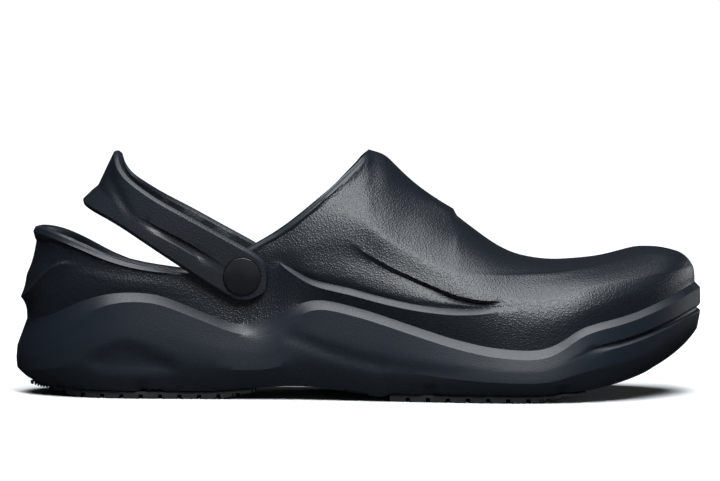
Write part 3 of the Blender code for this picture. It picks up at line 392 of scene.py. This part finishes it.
# %% Press the moulding's relief
points, normals = points_of(moulding)
x, y, z = points.T
lean = normals[:, 2]
core_start, core_end, core_height = CORE
core = np.zeros_like(points)
core[:, 0] = np.clip(x, core_start, core_end)
core[:, 2] = core_height
outside = np.einsum("ij,ij->i", normals, points - core) > 0
press = hollow_press(x, z, HEEL_HOLLOW, HEEL_HOLLOW_DEPTH, HEEL_HOLLOW_EDGE)
press += np.where(lean > TOP_LEAN, line_press(x, z, TOE_CREASE, *TOE_CREASE_REACH), 0.0)
for line, above, below in LINE_PRESSES:
    press += line_press(x, z, line, above * MM, below * MM)
for notch, half in NOTCHES:
    across = ease((half * MM - np.abs(x - notch * MM)) / NOTCH_SIDE)
    under = ease((NOTCH_TOP - z) / NOTCH_FADE) * (np.abs(lean) < FLAT_LEAN)
    press += NOTCH_DEPTH * across * under
slope = (on_line(RIM, x + MM) - on_line(RIM, x - MM)) / (2 * MM)
under_rim = (on_line(RIM, x) - z) / np.hypot(1, slope)
at_collar = (x < RIM[-1][0] * MM) & (under_rim > -RIM_ABOVE)
points -= normals * (press * outside)[:, None]
facing = np.clip(normals[:, 1] * np.sign(y) / FULL_ROLL, 0.0, 1.0)
roll = on_line(RIM_ROLL, x) * ease(1 - under_rim / RIM_REACH) * facing
points[:, 1] -= np.sign(y) * roll * (outside & at_collar)
put_back(moulding, points)
print("deepest press:", round(float((press * outside).max() / MM), 2), "mm")

# %% [markdown]
# ## Strap, insole and pads
#
# The strap is one band of the same foam, with a long slot pressed in each arm. The slot's
# lower wall was polished in the mould, so its faces get a slot of their own. The strap
# leans back from its rivets, so its relief is measured in its own plane: along it from
# the pivot, and up across it. The insole is soft and rounded all over. The pads are
# rubber, with corners that stay square.

# %% Round the strap
rivet_low, rivet_high = (Vector(corner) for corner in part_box("rivet_outer"))
PIVOT = (rivet_low + rivet_high) / 2
PIVOT.y = 0
STRAP_LIFT = math.radians(33)
ALONG = Vector((-math.cos(STRAP_LIFT), 0, math.sin(STRAP_LIFT)))
ACROSS = Vector((math.sin(STRAP_LIFT), 0, math.cos(STRAP_LIFT)))
SLOT_WALL_LEAN = (0.3, 0.97)
SLOT_TOP = 1.5 * MM
# The fold behind: distance from the pivot, height across the strap, depth, in millimetres.
BACK_FOLD = [
    (52, -4.5, 0.0), (58, -2.5, 0.5), (66, 1.0, 0.9), (76, 5.0, 1.0),
]
BACK_FOLD_REACH = (1.6 * MM, 4.0 * MM)
ARM_SIDE = 15 * MM
ARM_LEAN = 0.3

strap = joined_copy("heel_strap", "heel_strap_band")
for finish in ("skin", "slot wall"):
    strap.data.materials.append(None)
for face in strap.data.polygons:
    faces_up = SLOT_WALL_LEAN[0] < face.normal.dot(ACROSS) < SLOT_WALL_LEAN[1]
    under_top = (face.center - PIVOT).dot(ACROSS) < SLOT_TOP
    outward = face.normal.y * face.center.y > 0
    face.material_index = int(faces_up and under_top and outward)
print("slot wall faces:", sum(face.material_index for face in strap.data.polygons))
crease_sharp_edges(strap, line_angle=20, crease=0.85)
subdivide(strap, levels=2)

# %% Press the strap's fold
points, normals = points_of(strap)
run = (points - np.array(PIVOT)) @ np.array(ALONG)
up = (points - np.array(PIVOT)) @ np.array(ACROSS)
side = points[:, 1]
outer = (normals[:, 1] * np.sign(side) > ARM_LEAN) & (np.abs(side) > ARM_SIDE)
press = line_press(run, up, BACK_FOLD, *BACK_FOLD_REACH)
points -= normals * (press * outer)[:, None]
put_back(strap, points)

print("deepest fold in the strap:", round(float((press * outer).max() / MM), 2), "mm")

# %% Round the insole and copy the pads
insole = joined_copy("insole", "foam_insole")
insole.data.materials.append(None)
crease_sharp_edges(insole, line_angle=40, crease=0.4)
subdivide(insole, levels=1)

heel_pad = joined_copy("outsole_heel", "heel_rubber")
toe_pad = joined_copy("outsole_forefoot", "forefoot_rubber")
for pad in (heel_pad, toe_pad):
    pad.data.materials.append(None)

# %% [markdown]
# ## Fine cuts in the pads
#
# The ends of the pads have thin slits across them, which bend open and grip a wet floor.
# On the bench they would be sawn with a gang of thin blades. Here the blades are one thin
# cube, copied along the pad at its pitch and joined, and a Boolean takes them all out.


# %% Saw the slits
SLIT = 0.6 * MM
SLIT_PITCH = 1.4 * MM
SLIT_DEPTH = 1.1 * MM
BLADE_LENGTH = 200 * MM
BLADE_HEIGHT = 4 * MM
NEAR_BLADE = 4 * MM
# The stretches that are sawn, along x in millimetres.
SLIT_SPANS = {
    heel_pad: ((-141.5, -128), (-54, -43.5)),
    toe_pad: ((78, 91),),
}


def bottom_at(pad, place):
    """The lowest point of a pad at a length along it."""
    return min(v.co.z for v in pad.data.vertices if abs(v.co.x - place) < NEAR_BLADE)


def saw(pad, spans):
    """Cuts a row of slits across a pad, as deep as SLIT_DEPTH above its bottom."""
    places = [at for start, end in spans for at in np.arange(start * MM, end * MM, SLIT_PITCH)]
    blades = []
    for at in places:
        bpy.ops.object.select_all(action="DESELECT")
        height = bottom_at(pad, at) + SLIT_DEPTH - BLADE_HEIGHT / 2
        bpy.ops.mesh.primitive_cube_add(size=1, location=(at, 0, height))
        blade = bpy.context.object
        blade.scale = (SLIT, BLADE_LENGTH, BLADE_HEIGHT)
        bpy.ops.object.transform_apply(location=True, rotation=True, scale=True)
        blades.append(blade)
    for blade in blades:
        blade.select_set(True)
    bpy.ops.object.join()
    gang = bpy.context.object
    only(pad)
    cut = pad.modifiers.new("slits", "BOOLEAN")
    cut.object = gang
    cut.solver = "EXACT"
    bpy.ops.object.modifier_apply(modifier=cut.name)
    bpy.data.objects.remove(gang)
    bpy.ops.object.shade_smooth_by_angle(angle=math.radians(30))
    print(pad.name, "slits:", len(places), "faces:", len(pad.data.polygons))


for pad, spans in SLIT_SPANS.items():
    saw(pad, spans)

# %% [markdown]
# ## Rivets
#
# Each strap end is held by a snap rivet of smooth plastic: a flat head with a raised ring
# round its edge, on a shank that goes through strap and wall. It is turned work, so it
# starts as a cylinder, and its steps are made with Inset and Extrude on the end face. The
# inner rivet is a mirrored copy, so its normals are made to point outwards again.

# %% Tools for an end face
OUT = Vector((0, -1, 0))
END_FACE_TURN = 0.99
END_FACE_DEPTH = 0.01 * MM


def end_face(piece, direction):
    """Selects, in edit mode, the flat end that looks along direction."""
    form = bmesh.from_edit_mesh(piece.data)
    reach = max(face.calc_center_median().dot(direction) for face in form.faces)
    for face in form.faces:
        face.select_set(
            face.normal.dot(direction) > END_FACE_TURN
            and face.calc_center_median().dot(direction) > reach - END_FACE_DEPTH
        )
    form.select_flush_mode()
    bmesh.update_edit_mesh(piece.data)


def inset(width):
    """Insets the selected face by a width."""
    bpy.ops.mesh.inset(thickness=width, depth=0.0)


def push(vector):
    """Moves the selected face."""
    bpy.ops.transform.translate(value=vector)


def pull_out(vector):
    """Extrudes the selected face."""
    bpy.ops.mesh.extrude_region_move(TRANSFORM_OT_translate={"value": vector})


# %% Model the outer rivet
RIVET_RADIUS = (rivet_high.x - rivet_low.x) / 2
RIVET_HEAD = 2.2 * MM
RIVET_EDGE = 0.28 * MM
# The steps on the head, from its edge inwards: width, then how far out, in millimetres.
HEAD_STEPS = [(0.75, -0.05), (0.22, -0.32), (0.35, 0.0), (0.25, 0.12), (2.6, 0.10), (2.2, 0.03)]
SHANK_RADIUS = 3.4 * MM
SHANK_TAPER = 0.4 * MM
SHANK_TIP = 0.5 * MM

head_top, shank_end = rivet_low.y, rivet_high.y
bpy.ops.object.select_all(action="DESELECT")
bpy.ops.mesh.primitive_cylinder_add(
    vertices=64,
    radius=RIVET_RADIUS,
    depth=RIVET_HEAD,
    location=(PIVOT.x, head_top + RIVET_HEAD / 2, PIVOT.z),
    rotation=(math.pi / 2, 0, 0),
)
rivet = bpy.context.object
rivet.name = rivet.data.name = "rivet_head_outer"
bpy.ops.object.transform_apply(location=True, rotation=True, scale=True)
bpy.ops.object.mode_set(mode="EDIT")
end_face(rivet, OUT)
for width, rise in HEAD_STEPS:
    inset(width * MM)
    push(OUT * rise * MM)
end_face(rivet, -OUT)
inset(RIVET_RADIUS - SHANK_RADIUS)
pull_out(-OUT * (shank_end - head_top - RIVET_HEAD - SHANK_TIP))
inset(SHANK_TAPER)
pull_out(-OUT * SHANK_TIP)
bpy.ops.object.mode_set(mode="OBJECT")
edge = rivet.modifiers.new("edge", "BEVEL")
edge.width = RIVET_EDGE
edge.segments = 3
edge.limit_method = "ANGLE"
edge.angle_limit = math.radians(40)
bpy.ops.object.modifier_apply(modifier=edge.name)
bpy.ops.object.shade_smooth_by_angle(angle=math.radians(35))
print("rivet faces:", len(rivet.data.polygons))

# %% Mirror it for the inner side
inner_head_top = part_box("rivet_inner")[1][1]
rivet_inner = rivet.copy()
rivet_inner.data = rivet.data.copy()
rivet_inner.name = rivet_inner.data.name = "rivet_head_inner"
bpy.context.scene.collection.objects.link(rivet_inner)
only(rivet_inner)
rivet_inner.scale = (1, -1, 1)
rivet_inner.location.y = inner_head_top + head_top
bpy.ops.object.transform_apply(location=True, rotation=True, scale=True)
bpy.ops.object.mode_set(mode="EDIT")
bpy.ops.mesh.select_all(action="SELECT")
bpy.ops.mesh.normals_make_consistent(inside=False)
bpy.ops.object.mode_set(mode="OBJECT")
print("rivet heads at y:", round(head_top / MM, 1), "and", round(inner_head_top / MM, 1), "mm")

# %% [markdown]
# ## Materials
#
# Foam, rubber and plastic are all nearly black here, so what tells them apart is how they
# break up the light. Each material below says what the real one is and what its surface
# gives the eye. Colours are written as the sRGB hex that a picture would show. Patterns
# are scaled in repeats to a millimetre, or by the size of one repeat.


# %% Colour and node helpers
def linear(hex_colour):
    """An sRGB hex colour as the linear values that a shader wants."""
    parts = [int(hex_colour[i:i + 2], 16) / 255 for i in (1, 3, 5)]
    return tuple(c / 12.92 if c < 0.04045 else ((c + 0.055) / 1.055) ** 2.4 for c in parts) + (1,)


def add_node(tree, kind, inputs=None, **settings):
    """Adds a node, sets its options, and sets or links its inputs."""
    node = tree.nodes.new(kind)
    for name, value in settings.items():
        setattr(node, name, value)
    for name, value in (inputs or {}).items():
        if isinstance(value, bpy.types.NodeSocket):
            tree.links.new(value, node.inputs[name])
        else:
            node.inputs[name].default_value = value
    return node


def new_material(name, roughness, ior=1.5):
    """An empty material with its tree, its shader and the piece's own coordinates."""
    material = bpy.data.materials.new(name)
    material.use_nodes = True
    tree = material.node_tree
    shader = tree.nodes["Principled BSDF"]
    shader.inputs["Roughness"].default_value = roughness
    shader.inputs["IOR"].default_value = ior
    place = add_node(tree, "ShaderNodeTexCoord").outputs["Object"]
    return material, tree, shader, place


# %% [markdown]
# ### Moulded EVA foam
#
# Ethylene vinyl acetate foam is moulded to its final skin. The skin copies the mould: on
# the upper a leather grain of pebbles nearly a millimetre across, on the side a much
# finer one, on the bands next to none. A Voronoi pattern gives the pebbles, and noise
# bends it so that no two are alike. The pebbles' tops are rubbed a little smoother than
# the gaps. Their colour is lighter on the tops and darker in the gaps, a painted highlight
# and painted shade, over a random cloud of tone. The foam takes less gloss than solid
# plastic, so its specular level is low.


# %% EVA foam in its five finishes
FOAM_SPECULAR = 0.28


def eva_foam(name, dark, light, grain, height, roughness):
    """Foam whose pebbles are grain metres across and height metres high, with a painted highlight
    on their tops and painted shade in their gaps.
    """
    material, tree, shader, place = new_material(name, roughness, ior=1.45)
    shader.inputs["Specular IOR Level"].default_value = FOAM_SPECULAR
    bend = add_node(
        tree, "ShaderNodeTexNoise", {"Vector": place, "Scale": 0.35 / grain, "Detail": 2.0}
    )
    shift = add_node(
        tree, "ShaderNodeVectorMath",
        {0: bend.outputs["Color"], "Scale": grain * 0.9}, operation="SCALE",
    )
    bent = add_node(tree, "ShaderNodeVectorMath", {0: place, 1: shift.outputs[0]}, operation="ADD")
    pebbles = add_node(
        tree, "ShaderNodeTexVoronoi",
        {"Vector": bent.outputs[0], "Scale": 1 / grain, "Smoothness": 0.35}, feature="SMOOTH_F1",
    )
    dome = add_node(
        tree, "ShaderNodeMapRange",
        {
            "Value": pebbles.outputs["Distance"], "From Min": 0.12, "From Max": 0.62,
            "To Min": 1.0, "To Max": 0.0,
        },
        interpolation_type="SMOOTHSTEP",
    )
    dust = add_node(
        tree, "ShaderNodeTexNoise", {"Vector": place, "Scale": 3.2 / grain, "Detail": 2.0}
    )
    relief = add_node(
        tree, "ShaderNodeMath", {0: dust.outputs["Fac"], 1: 0.22, 2: dome.outputs["Result"]},
        operation="MULTIPLY_ADD",
    )
    bump = add_node(
        tree, "ShaderNodeBump", {"Height": relief.outputs[0], "Distance": height, "Strength": 1.0}
    )
    cloud = add_node(
        tree, "ShaderNodeTexNoise", {"Vector": place, "Scale": 0.022 / MM, "Detail": 4.0}
    )
    # Painted highlight and painted shade: the colour is lighter on each pebble's top and darker in
    # its gaps, mixed with a random cloud of tone.
    blend = add_node(
        tree, "ShaderNodeMath", {0: cloud.outputs["Fac"], 1: 0.6, 2: dome.outputs["Result"]},
        operation="MULTIPLY_ADD",
    )
    tone_and_painted_shade = add_node(
        tree, "ShaderNodeMapRange",
        {"Value": blend.outputs[0], "From Min": 0.2, "From Max": 1.5},
    )
    tint = add_node(
        tree, "ShaderNodeMix",
        {"Factor": tone_and_painted_shade.outputs["Result"], 6: linear(dark), 7: linear(light)}, data_type="RGBA",
    )
    rub = add_node(
        tree, "ShaderNodeMapRange",
        {"Value": tone_and_painted_shade.outputs["Result"], "To Min": roughness + 0.08, "To Max": roughness - 0.06},
    )
    tree.links.new(tint.outputs[2], shader.inputs["Base Color"])
    tree.links.new(rub.outputs["Result"], shader.inputs["Roughness"])
    tree.links.new(bump.outputs["Normal"], shader.inputs["Normal"])
    return material


# Pebbled skin: small grey specks on near black, from its bumps and from a painted highlight on the
# pebbles' tops.
eva_pebbled = eva_foam("eva_moulded_pebbled", "#080b10", "#0d1218", 0.85 * MM, 0.07 * MM, 0.34)
# Fine skin of the sidewall: an even, slightly bluer grey with hardly a speck.
eva_fine = eva_foam("eva_moulded_fine", "#0a0f15", "#0f151c", 0.5 * MM, 0.022 * MM, 0.38)
# Polished band, and the slot's wall on the strap: the light slides along without a break.
eva_band = eva_foam("eva_moulded_polished", "#090d13", "#0e131a", 0.6 * MM, 0.006 * MM, 0.36)
# Inside of the shoe: left fine and dull by the mould's core.
eva_inside = eva_foam("eva_moulded_inside", "#0b0f14", "#10151b", 0.6 * MM, 0.03 * MM, 0.58)
# Strap: the pebbles are smaller and rubbed lower than on the upper.
eva_strap = eva_foam("eva_moulded_strap", "#080c12", "#0e1319", 0.75 * MM, 0.045 * MM, 0.42)
print("foam finishes: pebbled, fine, polished, inside, strap")

# %% [markdown]
# ### Rubber, insole foam and rivet plastic
#
# The pads are pressed black rubber, dull and a little dusty in the grain. The insole is
# an open-cell foam with a soft, fine surface. The rivets are injection-moulded ABS, a
# solid plastic with a satin gloss that shows the lamps as soft, clean patches.


# %% Rubber
def pressed_rubber():
    """Black carbon-filled rubber with the dull skin that a steel mould leaves."""
    material, tree, shader, place = new_material("rubber_pressed_black", 0.62, ior=1.52)
    grit = add_node(
        tree, "ShaderNodeTexNoise", {"Vector": place, "Scale": 2.6 / MM, "Detail": 3.0}
    )
    bloom = add_node(
        tree, "ShaderNodeTexNoise", {"Vector": place, "Scale": 0.045 / MM, "Detail": 4.0}
    )
    tint = add_node(
        tree, "ShaderNodeMix",
        {"Factor": bloom.outputs["Fac"], 6: linear("#08090b"), 7: linear("#101215")},
        data_type="RGBA",
    )
    dull = add_node(
        tree, "ShaderNodeMapRange", {"Value": bloom.outputs["Fac"], "To Min": 0.52, "To Max": 0.72}
    )
    bump = add_node(tree, "ShaderNodeBump", {"Height": grit.outputs["Fac"], "Distance": 0.03 * MM})
    tree.links.new(tint.outputs[2], shader.inputs["Base Color"])
    tree.links.new(dull.outputs["Result"], shader.inputs["Roughness"])
    tree.links.new(bump.outputs["Normal"], shader.inputs["Normal"])
    return material


rubber = pressed_rubber()
print("material:", rubber.name)


# %% Insole foam
def insole_foam():
    """Open-cell foam: fine cells with painted shade in the gaps between them, no gloss, a soft
    light edge.
    """
    material, tree, shader, place = new_material("foam_insole_open_cell", 0.9, ior=1.4)
    shader.inputs["Sheen Weight"].default_value = 0.25
    shader.inputs["Sheen Roughness"].default_value = 0.6
    cells = add_node(tree, "ShaderNodeTexVoronoi", {"Vector": place, "Scale": 1 / (0.7 * MM)})
    # Painted shade: the colour darkens from each cell's middle to the sunken gaps round it.
    tint = add_node(
        tree, "ShaderNodeMix",
        {"Factor": cells.outputs["Distance"], 6: linear("#1d2127"), 7: linear("#121519")},
        data_type="RGBA",
    )
    bump = add_node(
        tree, "ShaderNodeBump", {"Height": cells.outputs["Distance"], "Distance": -0.08 * MM}
    )
    tree.links.new(tint.outputs[2], shader.inputs["Base Color"])
    tree.links.new(bump.outputs["Normal"], shader.inputs["Normal"])
    return material


insole_material = insole_foam()
print("material:", insole_material.name)


# %% Rivet plastic
def glossy_abs():
    """Injection-moulded ABS: a clean satin gloss with a faint orange-peel."""
    material, tree, shader, place = new_material("abs_moulded_gloss_black", 0.3, ior=1.53)
    shader.inputs["Specular IOR Level"].default_value = 0.24
    shader.inputs["Coat Weight"].default_value = 0.08
    shader.inputs["Coat Roughness"].default_value = 0.12
    peel = add_node(
        tree, "ShaderNodeTexNoise", {"Vector": place, "Scale": 0.9 / MM, "Detail": 1.0}
    )
    smudge = add_node(
        tree, "ShaderNodeTexNoise", {"Vector": place, "Scale": 0.16 / MM, "Detail": 3.0}
    )
    tint = add_node(
        tree, "ShaderNodeMix",
        {"Factor": smudge.outputs["Fac"], 6: linear("#06080b"), 7: linear("#0b0d11")},
        data_type="RGBA",
    )
    gloss = add_node(
        tree, "ShaderNodeMapRange", {"Value": smudge.outputs["Fac"], "To Min": 0.24, "To Max": 0.36}
    )
    bump = add_node(tree, "ShaderNodeBump", {"Height": peel.outputs["Fac"], "Distance": 0.01 * MM})
    tree.links.new(tint.outputs[2], shader.inputs["Base Color"])
    tree.links.new(gloss.outputs["Result"], shader.inputs["Roughness"])
    tree.links.new(bump.outputs["Normal"], shader.inputs["Normal"])
    return material


rivet_plastic = glossy_abs()
print("material:", rivet_plastic.name)

# %% Put the materials on
for index, material in enumerate((eva_pebbled, eva_fine, eva_band, eva_inside)):
    moulding.data.materials[index] = material
strap.data.materials[0] = eva_strap
strap.data.materials[1] = eva_band
insole.data.materials[0] = insole_material
for pad in (heel_pad, toe_pad):
    pad.data.materials[0] = rubber
for head in (rivet, rivet_inner):
    head.data.materials.append(rivet_plastic)
for node in ("washer_outer", "washer_inner"):
    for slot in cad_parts[node].material_slots:
        slot.material = rivet_plastic

# %% [markdown]
# ## What moves with what
#
# Nothing on this part has a joint, so every piece rides on the one body, the root. Each
# piece is listed with the imported solid it stands for and a finish name, which nothing here
# applies.

# %% Tie the pieces to the frame
PIECES = [
    (moulding, ("upper_and_midsole",), "upper_and_midsole"),
    (strap, ("heel_strap",), "heel_strap"),
    (insole, ("insole",), "insole"),
    (heel_pad, ("outsole_heel",), "outsole"),
    (toe_pad, ("outsole_forefoot",), "outsole"),
    (rivet, ("rivet_outer",), "rivets"),
    (rivet_inner, ("rivet_inner",), "rivets"),
]
for piece, nodes, finish in PIECES:
    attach(piece, "root")
    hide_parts(*nodes)
print("pieces that stand for solids:", len(PIECES))

# %% [markdown]
# ## The studio
#
# The picture is a catalogue shot on a white floor that runs out of sight. A sun with a
# wide angle is like one huge soft light overhead, and it reaches the far floor evenly. A
# small softbox, in front of the clog and above it, draws the bright patches on the vamp
# and the toe. A low one past the toe draws the far edges, and a weak wide one in front
# opens the near shadows.
#
# A white floor would also shine back in every steep dark wall and turn it grey. A
# photographer stops that with black card under the lens. Here the floor is simply not
# seen by glossy rays, so the walls stay as dark as they are in the picture.

# %% Floor
FLOOR_SIZE = 60.0
bpy.ops.object.select_all(action="DESELECT")
bpy.ops.mesh.primitive_plane_add(size=FLOOR_SIZE, location=(0, 0, 0))
floor = bpy.context.object
floor.name = "studio_floor"
paper, paper_tree, paper_shader, paper_place = new_material("paper_backdrop_matt", 0.9)
fibres = add_node(
    paper_tree, "ShaderNodeTexNoise", {"Vector": paper_place, "Scale": 0.006 / MM}
)
paper_tint = add_node(
    paper_tree, "ShaderNodeMix",
    {"Factor": fibres.outputs["Fac"], 6: linear("#bababa"), 7: linear("#bdbdbd")},
    data_type="RGBA",
)
paper_tree.links.new(paper_tint.outputs[2], paper_shader.inputs["Base Color"])
paper_shader.inputs["Specular IOR Level"].default_value = 0.0
floor.data.materials.append(paper)
floor.visible_glossy = False
print("floor:", FLOOR_SIZE, "m square")

# %% Lights
SOFTBOX_TINT = (0.93, 0.97, 1.0)
AIR_TINT = (0.95, 0.97, 1.0, 1)
AIR_STRENGTH = 0.012


def lamp(name, kind, energy, location, aim, **settings):
    """A lamp aimed at a point: watts for an area, watts to a square metre for a sun."""
    data = bpy.data.lights.new(name, kind)
    data.energy = energy
    data.color = SOFTBOX_TINT
    for key, value in settings.items():
        setattr(data, key, value)
    light = bpy.data.objects.new(name, data)
    light.location = location
    light.rotation_euler = (Vector(aim) - Vector(location)).to_track_quat("-Z", "Y").to_euler()
    bpy.context.scene.collection.objects.link(light)


lamp("overhead_softbox", "SUN", 7.2, (-0.2, -0.4, 3), (0, 0, 0), angle=math.radians(52))
lamp(
    "front_softbox", "AREA", 21.0, (0.16, -0.74, 0.80), (0.03, 0, 0.06),
    shape="RECTANGLE", size=0.42, size_y=0.46,
)
lamp(
    "right_sweep", "AREA", 5.0, (1.3, 0.9, 0.25), (0.1, 0, 0.05),
    shape="RECTANGLE", size=1.2, size_y=0.5,
)
lamp(
    "low_fill", "AREA", 2.6, (0.0, -2.4, 0.3), (0, 0, 0.05),
    shape="RECTANGLE", size=2.6, size_y=0.5,
)

world = bpy.data.worlds.new("studio_air")
bpy.context.scene.world = world
world.use_nodes = True
air = world.node_tree.nodes["Background"]
air.inputs["Color"].default_value = AIR_TINT
air.inputs["Strength"].default_value = AIR_STRENGTH
lamps = [thing.name for thing in bpy.context.scene.objects if thing.type == "LIGHT"]
print("lamps:", ", ".join(sorted(lamps)))

# %% [markdown]
# ## The camera
#
# A long lens looks at the outer side from a few degrees above it, as the picture was
# taken. The shoe is 688 pixels long in a picture 720 pixels wide, which sets the lens.

# %% Place the camera
PICTURE_WIDTH = 720
SENSOR_WIDTH = 36
METRES_PER_PIXEL = 0.300 / 688
DISTANCE = 2.5
PITCH = math.radians(3.3)
ROLL = math.radians(0.28)
AIM = Vector((0, 0, 66.8 * MM))
camera_data = bpy.data.cameras.new("catalogue_camera")
camera = bpy.data.objects.new("catalogue_camera", camera_data)
bpy.context.scene.collection.objects.link(camera)
camera.location = AIM + DISTANCE * Vector((0, -math.cos(PITCH), math.sin(PITCH)))
turn = Matrix.Rotation(math.pi / 2 - PITCH, 3, "X") @ Matrix.Rotation(ROLL, 3, "Z")
camera.rotation_euler = turn.to_euler()
camera_data.sensor_width = SENSOR_WIDTH
camera_data.lens = DISTANCE / METRES_PER_PIXEL / PICTURE_WIDTH * SENSOR_WIDTH
camera_data.shift_x = 1.0 / PICTURE_WIDTH
camera_data.clip_end = 100
bpy.context.scene.camera = camera
bpy.context.scene.view_settings.view_transform = "Standard"
print("lens:", round(camera_data.lens, 1), "mm")
